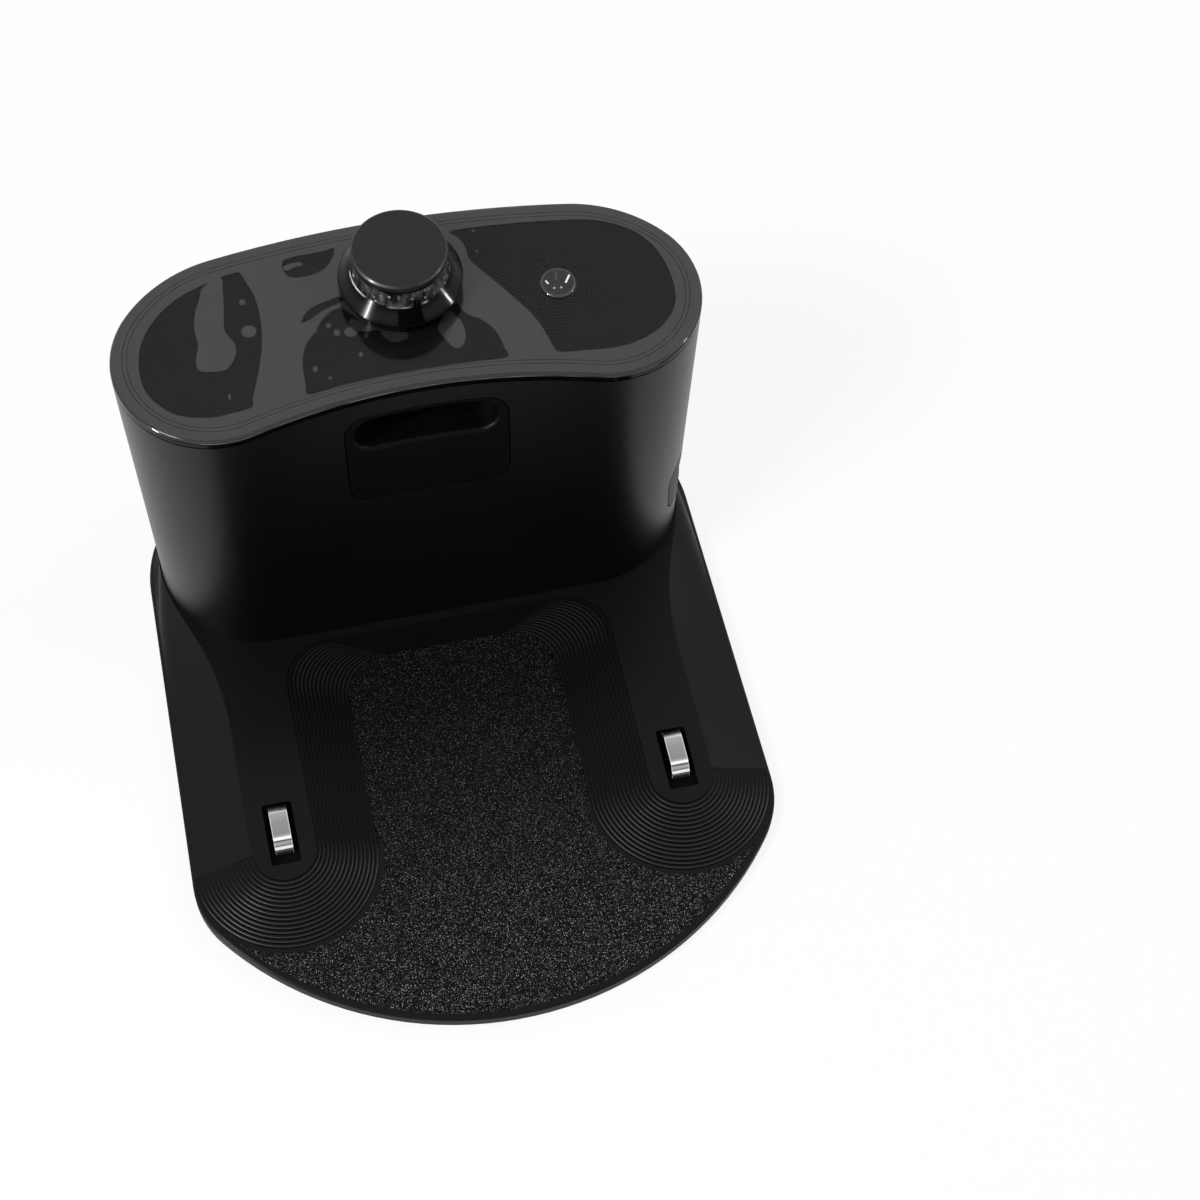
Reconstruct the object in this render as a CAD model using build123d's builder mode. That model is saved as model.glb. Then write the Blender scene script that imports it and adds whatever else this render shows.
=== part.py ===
from build123d import *
import math
import os

os.makedirs("parts", exist_ok=True)

# Charging station for a round robot vacuum, in millimetres.
# +X is right, -Y is the front that the robot drives up to, Z is up from the floor.
# The origin is on the floor under the middle of the station.
# Pairs of numbers are places in plan: in from the side of the base or the end of the tower's foot
# for feet and case screws, from the middle otherwise, and then back from the tower's front.

# Base seen from above
base_length = 197.0
base_side_taper = 0.02
base_bow_radius = 100.3
base_front_corner = 27.0
base_back_corner = 38.0
base_back_bow = 5.5

# Heights of the base, up from the floor
floor_gap = 1.0
cover_thickness = 2.0
apron_skin = 2.0
deck_top = 13.5
deck_skin = 2.5
rim_wall = 2.5
rim_break = 0.6
rim_land = 0.8

# Legs, with the terraced slope that leads the robot in
contact_spacing = 116.0
contact_ahead_of_tower = 59.35
leg_to_side = 26.4
nose_ahead_of_contact = 7.1
leg_flat_half_width = 9.2
terrace_count = 16
terrace_tread = 1.144
pocket_gap_low = 7.05
pocket_gap_high = 2.75
pocket_corner = 13.0
crease_straight_end = -18.75
crease_bend = (4.4, 3.25)

# Tower
tower_depth = 69.65
tower_back_step = 2.1
tower_side_step = 5.9
tower_top = 111.2
tower_wall = 2.5
tower_ledge = 0.8
tower_join_bearing = 39.0
foot_end_radius = 30.1
foot_corner_radius = 39.0
top_flare = 2.5
top_back_flare = 0.9
top_end_radius = 27.4
top_corner_radius = 40.0
top_end_ahead_of_back = 35.5
hollow_radius = 174.0

# Lid
lid_edge_height = 3.0
lid_plate = 2.5
lid_edge_radius = 1.2
lid_seam_break = 0.5
lid_groove_inset = 3.4
lid_groove_width = 1.4
lid_groove_depth = 0.4
lid_skirt_depth = 3.8
lid_skirt_wall = 1.6
film_thickness = 0.2
film_edge_gap = 0.2

# Bezel and slot on the front wall
bezel_half_width = 22.5
bezel_height = 33.8
bezel_drop = 6.0
bezel_corner = 6.0
bezel_flange = 3.0
bezel_flange_thickness = 1.6
slot_half_width = 19.8
slot_height = 11.2
slot_drop = 7.4
slot_lip = 1.1
seam_gap = 0.35

# Emitter holder behind the slot
holder_half_width = 23.5
holder_wall = 2.2
holder_depth = 26.25
holder_back_wall = 3.0
holder_post_radius = 2.7
holder_post_length = 2.0
holder_post_x = 20.0
baffle_thickness = 1.2
baffle_depth = 3.0
emitter_spacing = 19.0

# Beacon on the lid
beacon_ahead_of_back = 22.0
beacon_foot_radius = 15.0
beacon_ring_radius = 17.0
beacon_ring_height = 4.6
beacon_ring_land = 0.6
beacon_ring_round = 0.25
beacon_lamp_lift = 6.6
beacon_neck_radius = 13.5
beacon_neck_height = 9.2
beacon_crown_radius = 12.7
beacon_crown_height = 15.4
beacon_bore = 9.2
beacon_wall = 1.8
beacon_spigot_wall = 1.5
beacon_spigot_depth = 3.6
cap_radius = 13.0
cap_thickness = 2.0
cap_plug_depth = 2.0
cap_edge_break = 0.5
reflector_length = 8.0
reflector_tip_radius = 0.6

# Indicator on the lid
indicator_x = 42.2
indicator_ahead_of_back = 29.7
indicator_radius = 5.0
indicator_spigot_radius = 4.4
indicator_dome = 0.9
indicator_spigot_depth = 4.0
indicator_round = 0.7
indicator_lamp_lift = 0.4

# Lamps: the small round emitters all share one body
lamp_radius = 2.5
lamp_flange_radius = 2.9
lamp_flange_height = 1.0
lamp_body_height = 5.1
lamp_leg_spacing = 2.54
lamp_leg_radius = 0.35

# Circuit boards
board_thickness = 1.6
main_board_side_gap = 24.5
main_board_front_gap = 13.25
main_board_depth = 38.0
main_board_lift = 5.5
board_hole_inset = 4.0
board_post_radius = 3.2
lid_board_left = -18.0
lid_board_right = 52.0
lid_board_back_gap = 10.9
lid_board_depth = 25.0
lid_board_drop = 10.7
emitter_board_half_width = 23.0
emitter_board_height = 14.0

# Screws, all of one kind
screw_shank_radius = 1.45
screw_shank_length = 6.0
screw_head_radius = 2.8
screw_head_height = 1.6
pilot_gap = 0.05
clear_gap = 0.25
head_gap = 0.4
cup_radius = 5.0
cup_height = 3.0
boss_radius = 4.2
tower_boss_height = 12.0
boss_bite = 1.2
front_boss_bearing = -50.0
back_boss_bearing = 58.0
nose_screw_ahead = 12.3
front_cover_screw = (28.5, 19.25)
back_cover_screw = (38.5, 55.25)
lid_screw = (16.5, 47.25)
lid_lug_half_width = 5.0
lid_lug_height = 3.0
lid_lug_length = 24.0

# Contacts
strip_width = 5.2
strip_thickness = 0.6
strip_half_length = 7.2
strip_bevel = 2.4
strip_bend = 1.6
contact_rise = 2.4
contact_slot_width = 8.5
contact_slot_length = 19.0
contact_slot_shift = 1.9
contact_slot_corner = 0.8
contact_travel = 2.0
carrier_flange_half_width = 6.0
carrier_flange_half_length = 11.5
carrier_flange_thickness = 2.0
carrier_gap = 0.1
carrier_block_width = 4.8
guide_gap = 0.3
strip_tail_reach = 2.5
spring_radius = 3.0
spring_wire_radius = 0.25
spring_wire_sides = 6
spring_turns = 4.0
terminal_thickness = 0.4
terminal_radius = 4.2
terminal_tab_width = 3.0
terminal_tab_length = 11.0
spring_post_radius = 2.0
lead_radius = 0.9
lead_start = 7.5
lead_turn_gap = 0.75
lead_rise = (22.0, 29.25)
lead_turn_radius = 20.0
lead_rise_radius = 5.0
cable_radius = 1.0
cable_bow = 5.0
cable_bow_radius = 25.0
cable_straight = 8.0
emitter_cable_x = 22.0
lid_cable = (-6.0, 47.25)

# Mains inlet in the right end of the tower
inlet_width = 31.0
inlet_height = 22.0
inlet_corner = 6.0
inlet_sill = 13.5
inlet_forward = 2.85
inlet_face_depth = 5.5
inlet_depth = 12.5
inlet_pocket = (19.0, 13.0, 4.0)
inlet_pillar = (5.0, 14.0)
inlet_well_depth = 9.5
inlet_pin_spacing = 8.6
inlet_pin_radius = 1.2
inlet_pin_setback = 1.0
inlet_lobe_radius = 4.1
inlet_web_height = 5.4
inlet_tail_inset = 3.0
inlet_pin_round = 0.8

# Pieces on the main board, placed from the middle of its front edge
fuse_at = (36.0, 8.0)
fuse_length = 20.0
fuse_tube_radius = 2.2
fuse_cap_radius = 2.6
fuse_cap_length = 5.0
choke_at = (31.0, 27.0)
choke_ring_radius = 6.5
choke_wire_radius = 2.8
choke_base = 3.0
bridge_at = (11.0, 5.0)
bridge_length = 14.0
bridge_thickness = 4.0
bridge_height = 11.0
bridge_corner = 2.5
bulk_at = (8.0, 25.0)
bulk_radius = 9.0
bulk_height = 28.0
output_at = [(-46.0, 14.0), (-46.0, 26.0)]
output_radius = 5.0
output_height = 18.0
can_edge_break = 0.8
can_groove_height = 4.0
can_groove_radius = 0.8
transformer_at = (-26.0, 25.0)
core_length = 28.0
core_depth = 11.0
core_height = 22.0
core_leg = 4.0
core_middle = 8.0
winding_bulge = 5.0
winding_flange = 2.0
sink_at = (-16.0, 6.5)
sink_length = 26.0
sink_plate = 2.0
sink_height = 24.0
sink_fins = 4
sink_fin_depth = 5.0
transistor_width = 10.0
transistor_depth = 4.5
transistor_height = 15.0
transistor_lift = 3.0
transistor_leg = 0.8
chip_at = (-40.0, 4.0)
chip_size = (9.0, 5.0, 2.0)
chip_break = 0.3

# Feet, placed in from the sides and ends of the base
foot_pad_radius = 7.0
foot_pad_break = 0.4
foot_recess = 0.8
foot_pad_gap = 0.2
front_foot = (39.4, 28.5)
back_foot = (24.4, 32.5)

# Heights and places that follow from the sizes above
base_front = -base_length / 2
base_back = base_length / 2
cover_top = floor_gap + cover_thickness
apron_top = cover_top + apron_skin
deck_ceiling = deck_top - deck_skin
flange_top = deck_ceiling - guide_gap
flange_bottom = flange_top - carrier_flange_thickness
tail_bottom = flange_bottom - strip_thickness
spring_post_height = tail_bottom - contact_travel - guide_gap - cover_top
base_back_corner_y = base_back - base_back_bow - base_back_corner
tower_back = base_back - tower_back_step
tower_front = tower_back - tower_depth
top_back = tower_back + top_back_flare
contact_y = tower_front - contact_ahead_of_tower
contact_slot_y = contact_y - contact_slot_shift
nose_y = contact_y - nose_ahead_of_contact
pocket_back_low = tower_front - pocket_gap_low
pocket_back_high = tower_front - pocket_gap_high
leg_x = contact_spacing / 2
crease_x = leg_x + leg_flat_half_width
base_half_width = leg_x + leg_to_side
terrace_rise = (deck_top - apron_top) / terrace_count
foot_half_length = base_half_width - tower_side_step
foot_end_x = foot_half_length - foot_end_radius
foot_end_y = tower_front + foot_end_radius
top_end_x = foot_half_length + top_flare - top_end_radius
top_end_y = top_back - top_end_ahead_of_back
hollow_y = top_end_y - math.sqrt((hollow_radius + top_end_radius) ** 2 - top_end_x**2)
lid_top = tower_top + lid_edge_height
lid_ceiling = lid_top - lid_plate
lid_skirt_inset = tower_wall + guide_gap
main_board_bottom = deck_top + main_board_lift
main_board_top = main_board_bottom + board_thickness
main_board_half_width = foot_half_length - main_board_side_gap
main_board_front = tower_front + main_board_front_gap
main_board_back = main_board_front + main_board_depth
lid_board_top = lid_ceiling - lid_board_drop
lid_board_bottom = lid_board_top - board_thickness
lid_board_back = tower_back - lid_board_back_gap
lid_board_front = lid_board_back - lid_board_depth
pilot_radius = screw_shank_radius + pilot_gap
clear_radius = screw_shank_radius + clear_gap
beacon_y = tower_back - beacon_ahead_of_back
indicator_y = tower_back - indicator_ahead_of_back
beacon_spigot_radius = beacon_bore + beacon_spigot_wall
beacon_crown_z = lid_top + beacon_crown_height
beacon_ring_z = lid_top + beacon_ring_height
beacon_axis = Axis((0, beacon_y, 0), (0, 0, 1))
cap_plug_radius = beacon_crown_radius - beacon_wall - guide_gap
bezel_top = tower_top - bezel_drop
bezel_z = bezel_top - bezel_height / 2
slot_z = bezel_top - slot_drop
holder_back = tower_front + holder_depth
inlet_y = foot_end_y - inlet_forward
inlet_z = deck_top + inlet_sill + inlet_height / 2
inlet_face_x = foot_half_length - inlet_face_depth
inlet_tail_x = main_board_half_width - inlet_tail_inset
emitter_board_front = holder_back + holder_post_length
pilot_depth = screw_shank_length - screw_head_height + 2 * clear_gap
lid_lug_top = tower_top - lid_skirt_depth - guide_gap
lid_lug_bottom = lid_lug_top - lid_lug_height
side_tilt = math.atan(base_side_taper)
side_slope = math.cos(side_tilt)
sides = {"left": -1, "right": 1}
stand = (Align.CENTER, Align.CENTER, Align.MIN)
hang = (Align.CENTER, Align.CENTER, Align.MAX)
from_front = (Align.CENTER, Align.MIN, Align.MIN)


# Outlines seen from above. Each draws the right half, which is then mirrored.
def back_bow(end_x, end_y, end_radius, back):
    """Centre height, radius and bearing of the bowed back that joins two end arcs."""
    reach = back - end_y - end_radius
    drop = (end_x**2 - reach**2) / (2 * reach)
    return end_y - drop, drop + back - end_y, math.degrees(math.atan2(drop, end_x))


def side_x(y):
    """Half width of the base at y."""
    return base_half_width - base_side_taper * y


def draw_back(corner, radius, back, start_bearing, inset):
    """Round back corner and half of the bowed back."""
    bow_y, bow_radius, bearing = back_bow(*corner, radius, back)
    CenterArc(corner, radius - inset, start_bearing, bearing - start_bearing)
    CenterArc((0, bow_y), bow_radius - inset, bearing, 90 - bearing)


def corner_of(end_x, end_y, end_radius, corner_radius):
    """Centre of the wider back corner that runs on from a round end of the tower."""
    step = end_radius - corner_radius
    turn = math.radians(tower_join_bearing)
    return end_x + step * math.cos(turn), end_y + step * math.sin(turn)


def draw_base_back(front_y, inset):
    """Straight side of the base from front_y, its back corner and half of its back."""
    end_x = side_x(base_back_corner_y) - base_back_corner / side_slope
    radius = base_back_corner - inset
    corner = (end_x + radius * side_slope, base_back_corner_y + radius * math.sin(side_tilt))
    Line((side_x(front_y) - inset / side_slope, front_y), corner)
    start_bearing = math.degrees(side_tilt)
    draw_back((end_x, base_back_corner_y), base_back_corner, base_back, start_bearing, inset)


def draw_foot(inset):
    """Foot of the tower: straight front, round end, bowed back."""
    corner = corner_of(foot_end_x, foot_end_y, foot_end_radius, foot_corner_radius)
    Line((0, tower_front + inset), (foot_end_x, tower_front + inset))
    CenterArc((foot_end_x, foot_end_y), foot_end_radius - inset, -90, 90 + tower_join_bearing)
    draw_back(corner, foot_corner_radius, tower_back, tower_join_bearing, inset)


def draw_top(inset):
    """Top of the tower: hollow front that follows the robot, round end, bowed back."""
    corner = corner_of(top_end_x, top_end_y, top_end_radius, top_corner_radius)
    bearing = math.degrees(math.atan2(top_end_y - hollow_y, top_end_x))
    turn = tower_join_bearing + 180 - bearing
    CenterArc((0, hollow_y), hollow_radius + inset, bearing, 90 - bearing)
    CenterArc((top_end_x, top_end_y), top_end_radius - inset, bearing - 180, turn)
    draw_back(corner, top_corner_radius, top_back, tower_join_bearing, inset)


def plan_of(draw, *sizes):
    """Sketch of a half outline and its mirror image."""
    with BuildSketch() as plan:
        with BuildLine():
            draw(*sizes)
            mirror(about=Plane.YZ)
        make_face()
    return plan.sketch


def tower_form(inset):
    """Solid inside the tower's skin, drawn in by inset."""
    with BuildPart() as form:
        with BuildSketch(Plane.XY.offset(deck_top)):
            add(plan_of(draw_foot, inset))
        with BuildSketch(Plane.XY.offset(tower_top)):
            add(plan_of(draw_top, inset))
        loft()
    return form.part


def front_wall_y(z):
    """Where the middle of the front wall stands at height z."""
    share = (z - deck_top) / (tower_top - deck_top)
    return tower_front + (hollow_y + hollow_radius - tower_front) * share


# The base outline, with its bowed front edge
bow_y = base_front + base_bow_radius
bow_a = 1 + base_side_taper**2
bow_b = bow_y + base_side_taper * base_half_width
bow_c = base_half_width**2 + bow_y**2 - base_bow_radius**2
bow_end_y = (bow_b - math.sqrt(bow_b**2 - bow_a * bow_c)) / bow_a
bow_end_bearing = math.degrees(math.atan2(bow_end_y - bow_y, side_x(bow_end_y)))
with BuildSketch() as base_plan:
    with BuildLine():
        CenterArc((0, bow_y), base_bow_radius, -90, 90 + bow_end_bearing)
        draw_base_back(bow_end_y, 0)
        mirror(about=Plane.YZ)
    make_face()
    fillet(base_plan.vertices().group_by(Axis.Y)[0], base_front_corner)


def draw_pocket(level):
    """Half of the low pocket between the legs, at one level of the terraces."""
    half_width, back, _ = terrace_sizes(level)
    Line((0, back), (half_width - pocket_corner, back))
    CenterArc((half_width - pocket_corner, back - pocket_corner), pocket_corner, 0, 90)


def terrace_sizes(level):
    """Pocket half width, pocket back and nose radius at one level."""
    nose_radius = leg_flat_half_width + (terrace_count - level) * terrace_tread
    back = pocket_back_low + (pocket_back_high - pocket_back_low) * level / terrace_count
    return leg_x - nose_radius, back, nose_radius


def draw_terrace(level):
    """Half of one terrace: round the pocket, round the nose, back under the tower."""
    half_width, back, nose_radius = terrace_sizes(level)
    inside = crease_x - rim_land
    draw_pocket(level)
    Line((half_width, back - pocket_corner), (half_width, nose_y))
    CenterArc((leg_x, nose_y), nose_radius, 180, 180)
    Polyline(
        (leg_x + nose_radius, nose_y), (inside, nose_y), (inside, tower_front), (0, tower_front)
    )


def draw_pocket_cut(level):
    """Half of the pocket, open at the front."""
    half_width, back, _ = terrace_sizes(level)
    draw_pocket(level)
    Line((half_width, back - pocket_corner), (half_width, base_front))
    Line((half_width, base_front), (0, base_front))


def draw_flank_foot():
    """Half of the raised part where it meets the rim."""
    Line((0, nose_y), (side_x(nose_y) - rim_land / side_slope, nose_y))
    draw_base_back(nose_y, rim_land)


def draw_flank_crease():
    """Half of the raised part's flat top, whose crease flares out to wrap the tower."""
    corner = corner_of(foot_end_x, foot_end_y, foot_end_radius, foot_corner_radius)
    reach = foot_end_radius + tower_ledge
    turn = math.radians(tower_join_bearing)
    straight_end = tower_front + crease_straight_end
    Line((0, nose_y), (crease_x, nose_y))
    Spline(
        (crease_x, nose_y),
        (crease_x, (nose_y + straight_end) / 2),
        (crease_x, straight_end),
        (crease_x + crease_bend[0], tower_front + crease_bend[1]),
        (foot_end_x + reach, foot_end_y),
        (foot_end_x + reach * math.cos(turn / 2), foot_end_y + reach * math.sin(turn / 2)),
        (foot_end_x + reach * math.cos(turn), foot_end_y + reach * math.sin(turn)),
        tangents=((0, 1), (-math.sin(turn), math.cos(turn))),
    )
    draw_back(corner, foot_corner_radius, tower_back, tower_join_bearing, -tower_ledge)


def inlet_plan(gap):
    """Outline of the mains inlet, seen along X."""
    with BuildSketch() as outline:
        with Locations((inlet_y, inlet_z)):
            RectangleRounded(inlet_width + 2 * gap, inlet_height + 2 * gap, inlet_corner + gap)
    return outline.sketch


def on_board(place, lift=0):
    """Plane on top of the main board, placed from the middle of its front edge."""
    return Plane((place[0], main_board_front + place[1], main_board_top + lift))


# Places that several pieces share
boss_reach = foot_end_radius - tower_wall - boss_radius + boss_bite
tower_screws = [
    (
        side * (foot_end_x + boss_reach * math.cos(math.radians(bearing))),
        foot_end_y + boss_reach * math.sin(math.radians(bearing)),
    )
    for bearing in (front_boss_bearing, back_boss_bearing)
    for side in sides.values()
]
chamber_screws = [
    (side * (foot_half_length - x), tower_front + y)
    for x, y in (front_cover_screw, back_cover_screw)
    for side in sides.values()
]
nose_screws = [(side * leg_x, nose_y - nose_screw_ahead) for side in sides.values()]
cover_screws = chamber_screws + nose_screws
board_screws = [
    (side * (main_board_half_width - board_hole_inset), y)
    for y in (main_board_front + board_hole_inset, main_board_back - board_hole_inset)
    for side in sides.values()
]
lid_screws = [
    (side * (foot_half_length - lid_screw[0]), tower_front + lid_screw[1]) for side in sides.values()
]
lid_board_screws = [
    (lid_board_left + board_hole_inset, lid_board_front + board_hole_inset),
    (lid_board_left + board_hole_inset, lid_board_back - board_hole_inset),
    (lid_board_right - board_hole_inset, lid_board_back - board_hole_inset),
]
contacts = [(side * leg_x, contact_y) for side in sides.values()]
lead_holes = [(side * lead_rise[0], tower_front + lead_rise[1]) for side in sides.values()]
inlet_pins_y = [inlet_y + side * inlet_pin_spacing / 2 for side in sides.values()]
feet = {}
for name, side in sides.items():
    feet["front_" + name] = (side * (base_half_width - front_foot[0]), base_front + front_foot[1])
    feet["back_" + name] = (side * (base_half_width - back_foot[0]), base_back - back_foot[1])
emitter_x = {name: side * emitter_spacing / 2 for name, side in sides.items()}
cup_top = cover_top + cup_height
cup_seat = cup_top - screw_head_height

# Base deck: one moulding with a grained apron, two terraced legs and the tower's footing
with BuildPart() as base_deck:
    with BuildSketch(Plane.XY.offset(floor_gap)):
        add(base_plan.sketch)
    extrude(amount=apron_top - floor_gap)
    chamfer(base_deck.edges().group_by(Axis.Z)[-1], rim_break)
    with BuildSketch(Plane.XY.offset(apron_top)):
        add(plan_of(draw_flank_foot))
    with BuildSketch(Plane.XY.offset(deck_top)):
        add(plan_of(draw_flank_crease))
    loft()
    with BuildSketch(Plane.XY.offset(apron_top)):
        add(plan_of(draw_pocket_cut, terrace_count))
    extrude(amount=deck_top - apron_top, mode=Mode.SUBTRACT)
    for level in range(1, terrace_count + 1):
        with BuildSketch(Plane.XY.offset(apron_top + (level - 1) * terrace_rise)):
            add(plan_of(draw_terrace, level))
        extrude(amount=terrace_rise)
    # Hollow underneath: seat of the bottom cover, chamber below the tower, leg channels
    with BuildSketch(Plane.XY.offset(floor_gap)):
        add(base_plan.sketch)
        offset(amount=-rim_wall, mode=Mode.REPLACE)
    extrude(amount=cover_thickness, mode=Mode.SUBTRACT)
    channel_half_width = carrier_flange_half_width + guide_gap
    channel_front = contact_y - carrier_flange_half_length - guide_gap
    with BuildSketch(Plane.XY.offset(cover_top)):
        add(plan_of(draw_foot, tower_wall))
        with Locations(*[(x, (channel_front + foot_end_y) / 2) for x, _ in contacts]):
            Rectangle(2 * channel_half_width, foot_end_y - channel_front)
    extrude(amount=deck_ceiling - cover_top, mode=Mode.SUBTRACT)
    with Locations(*[(x, y, cover_top) for x, y in nose_screws]):
        Cylinder(cup_radius + guide_gap, cup_height, align=stand, mode=Mode.SUBTRACT)
    # Bosses for the cover screws hang from the ceiling, posts for the board stand on top
    with Locations(*[(x, y, cup_top) for x, y in chamber_screws]):
        Cylinder(boss_radius, deck_ceiling - cup_top, align=stand)
    with Locations(*[(x, y, deck_top) for x, y in board_screws]):
        Cylinder(board_post_radius, main_board_lift, align=stand)
    with Locations(*[(x, y, cup_top) for x, y in cover_screws]):
        Cylinder(pilot_radius, pilot_depth, align=stand, mode=Mode.SUBTRACT)
    with Locations(*[(x, y, main_board_bottom) for x, y in board_screws]):
        Cylinder(pilot_radius, pilot_depth, align=hang, mode=Mode.SUBTRACT)
    # Through the top skin: tower screws, contact leads, contact slots
    with Locations(*[(x, y, deck_ceiling) for x, y in tower_screws]):
        Cylinder(clear_radius, deck_skin, align=stand, mode=Mode.SUBTRACT)
    with Locations(*[(x, y, deck_ceiling) for x, y in lead_holes]):
        Cylinder(lead_radius + clear_gap, deck_skin, align=stand, mode=Mode.SUBTRACT)
    with BuildSketch(Plane.XY.offset(deck_ceiling)):
        with Locations(*[(x, contact_slot_y) for x, _ in contacts]):
            RectangleRounded(contact_slot_width, contact_slot_length, contact_slot_corner)
    extrude(amount=deck_skin, mode=Mode.SUBTRACT)
base_deck.part.label = "base_deck"
export_step(base_deck.part, "parts/base_deck.step")

# Bottom cover: flat plate inside the rim, with screw cups and the spring posts
with BuildPart() as bottom_cover:
    with BuildSketch(Plane.XY.offset(floor_gap)):
        add(base_plan.sketch)
        offset(amount=-rim_wall - guide_gap, mode=Mode.REPLACE)
    extrude(amount=cover_thickness)
    with Locations(*[(x, y, cover_top) for x, y in cover_screws]):
        Cylinder(cup_radius, cup_height, align=stand)
    with Locations(*[(x, y, cover_top) for x, y in contacts]):
        Cylinder(spring_post_radius, spring_post_height, align=stand)
    with Locations(*[(x, y, floor_gap) for x, y in cover_screws]):
        Cylinder(
            screw_head_radius + head_gap, cup_seat - floor_gap, align=stand, mode=Mode.SUBTRACT
        )
        Cylinder(clear_radius, cup_top - floor_gap, align=stand, mode=Mode.SUBTRACT)
    with Locations(*[(x, y, floor_gap) for x, y in feet.values()]):
        Cylinder(foot_pad_radius + foot_pad_gap, foot_recess, align=stand, mode=Mode.SUBTRACT)
bottom_cover.part.label = "bottom_cover"
export_step(bottom_cover.part, "parts/bottom_cover.step")

# Rubber feet: pads glued into the recesses of the bottom cover
for place, (x, y) in feet.items():
    with BuildPart(Plane((x, y, 0))) as foot_pad:
        Cylinder(foot_pad_radius, floor_gap + foot_recess, align=stand)
        chamfer(foot_pad.edges().sort_by(Axis.Z)[0], foot_pad_break)
    foot_pad.part.label = "foot_" + place
    export_step(foot_pad.part, "parts/foot_" + place + ".step")

# Tower shell: lofted wall, straight at the foot and hollow at the top, open at both ends
tower_outer = tower_form(0)
tower_inner = tower_form(tower_wall)
tower_middle = tower_form(tower_wall / 2)
with BuildPart() as tower_fixings:
    with Locations(*[(x, y, deck_top) for x, y in tower_screws]):
        Cylinder(boss_radius, tower_boss_height, align=stand)
    with Locations(*[(x, y - lid_lug_half_width, lid_lug_bottom) for x, y in lid_screws]):
        Box(2 * lid_lug_half_width, lid_lug_length, lid_lug_height, align=from_front)
    add(tower_middle, mode=Mode.INTERSECT)
with BuildPart() as tower_shell:
    add(tower_outer)
    add(tower_inner, mode=Mode.SUBTRACT)
    # Screw bosses in the corners and lugs that hold the lid
    add(tower_fixings.part)
    with Locations(*[(x, y, deck_top) for x, y in tower_screws]):
        Cylinder(pilot_radius, pilot_depth, align=stand, mode=Mode.SUBTRACT)
    with Locations(*[(x, y, lid_lug_bottom) for x, y in lid_screws]):
        Cylinder(clear_radius, lid_lug_height, align=stand, mode=Mode.SUBTRACT)
    # Window of the bezel
    with BuildSketch(Plane.XZ.offset(-foot_end_y)):
        with Locations((0, bezel_z)):
            RectangleRounded(
                2 * (bezel_half_width + seam_gap), bezel_height + 2 * seam_gap,
                bezel_corner + seam_gap,
            )
    extrude(amount=foot_end_y - base_front, mode=Mode.SUBTRACT)
    # Opening of the mains inlet
    with BuildSketch(Plane.YZ.offset(foot_end_x)):
        add(inlet_plan(seam_gap))
    extrude(amount=foot_end_radius + foot_end_x, mode=Mode.SUBTRACT)
tower_shell.part.label = "tower_shell"
export_step(tower_shell.part, "parts/tower_shell.step")

# Top cover: glossy lid with a soft outer edge, a fine groove and a skirt that locates it
with BuildPart() as top_cover:
    with BuildSketch(Plane.XY.offset(tower_top)):
        add(plan_of(draw_top, 0))
    extrude(amount=lid_edge_height)
    fillet(top_cover.edges().group_by(Axis.Z)[-1], lid_edge_radius)
    chamfer(top_cover.edges().group_by(Axis.Z)[0], lid_seam_break)
    with BuildSketch(Plane.XY.offset(lid_top - lid_groove_depth)):
        add(plan_of(draw_top, lid_groove_inset))
        add(plan_of(draw_top, lid_groove_inset + lid_groove_width), mode=Mode.SUBTRACT)
    extrude(amount=lid_groove_depth, mode=Mode.SUBTRACT)
    with BuildSketch(Plane.XY.offset(tower_top)):
        add(plan_of(draw_top, lid_skirt_inset))
    extrude(amount=lid_ceiling - tower_top, mode=Mode.SUBTRACT)
    with BuildSketch(Plane.XY.offset(tower_top - lid_skirt_depth)):
        add(plan_of(draw_top, lid_skirt_inset))
        add(plan_of(draw_top, lid_skirt_inset + lid_skirt_wall), mode=Mode.SUBTRACT)
    extrude(amount=lid_skirt_depth + lid_ceiling - tower_top)
    # Posts for the lid screws and for the lid board
    with Locations(*[(x, y, lid_lug_top) for x, y in lid_screws]):
        Cylinder(boss_radius, lid_ceiling - lid_lug_top, align=stand)
        Cylinder(pilot_radius, pilot_depth, align=stand, mode=Mode.SUBTRACT)
    with Locations(*[(x, y, lid_board_top) for x, y in lid_board_screws]):
        Cylinder(board_post_radius, lid_board_drop, align=stand)
        Cylinder(pilot_radius, pilot_depth, align=stand, mode=Mode.SUBTRACT)
    # Holes for the beacon and the indicator
    with Locations((0, beacon_y, lid_ceiling)):
        Cylinder(
            beacon_spigot_radius + guide_gap, lid_plate, align=stand, mode=Mode.SUBTRACT
        )
    with Locations((indicator_x, indicator_y, lid_ceiling)):
        Cylinder(
            indicator_spigot_radius + carrier_gap, lid_plate, align=stand, mode=Mode.SUBTRACT
        )
top_cover.part.label = "top_cover"
export_step(top_cover.part, "parts/top_cover.step")

# Protective film still stuck to the lid, cut round the beacon and the indicator
with BuildPart() as protective_film:
    with BuildSketch(Plane.XY.offset(lid_top)):
        add(plan_of(draw_top, lid_edge_radius + film_edge_gap))
        with Locations((0, beacon_y)):
            Circle(beacon_foot_radius + film_edge_gap, mode=Mode.SUBTRACT)
        with Locations((indicator_x, indicator_y)):
            Circle(indicator_radius + film_edge_gap, mode=Mode.SUBTRACT)
    extrude(amount=film_thickness)
protective_film.part.label = "protective_film"
export_step(protective_film.part, "parts/protective_film.step")

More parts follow.
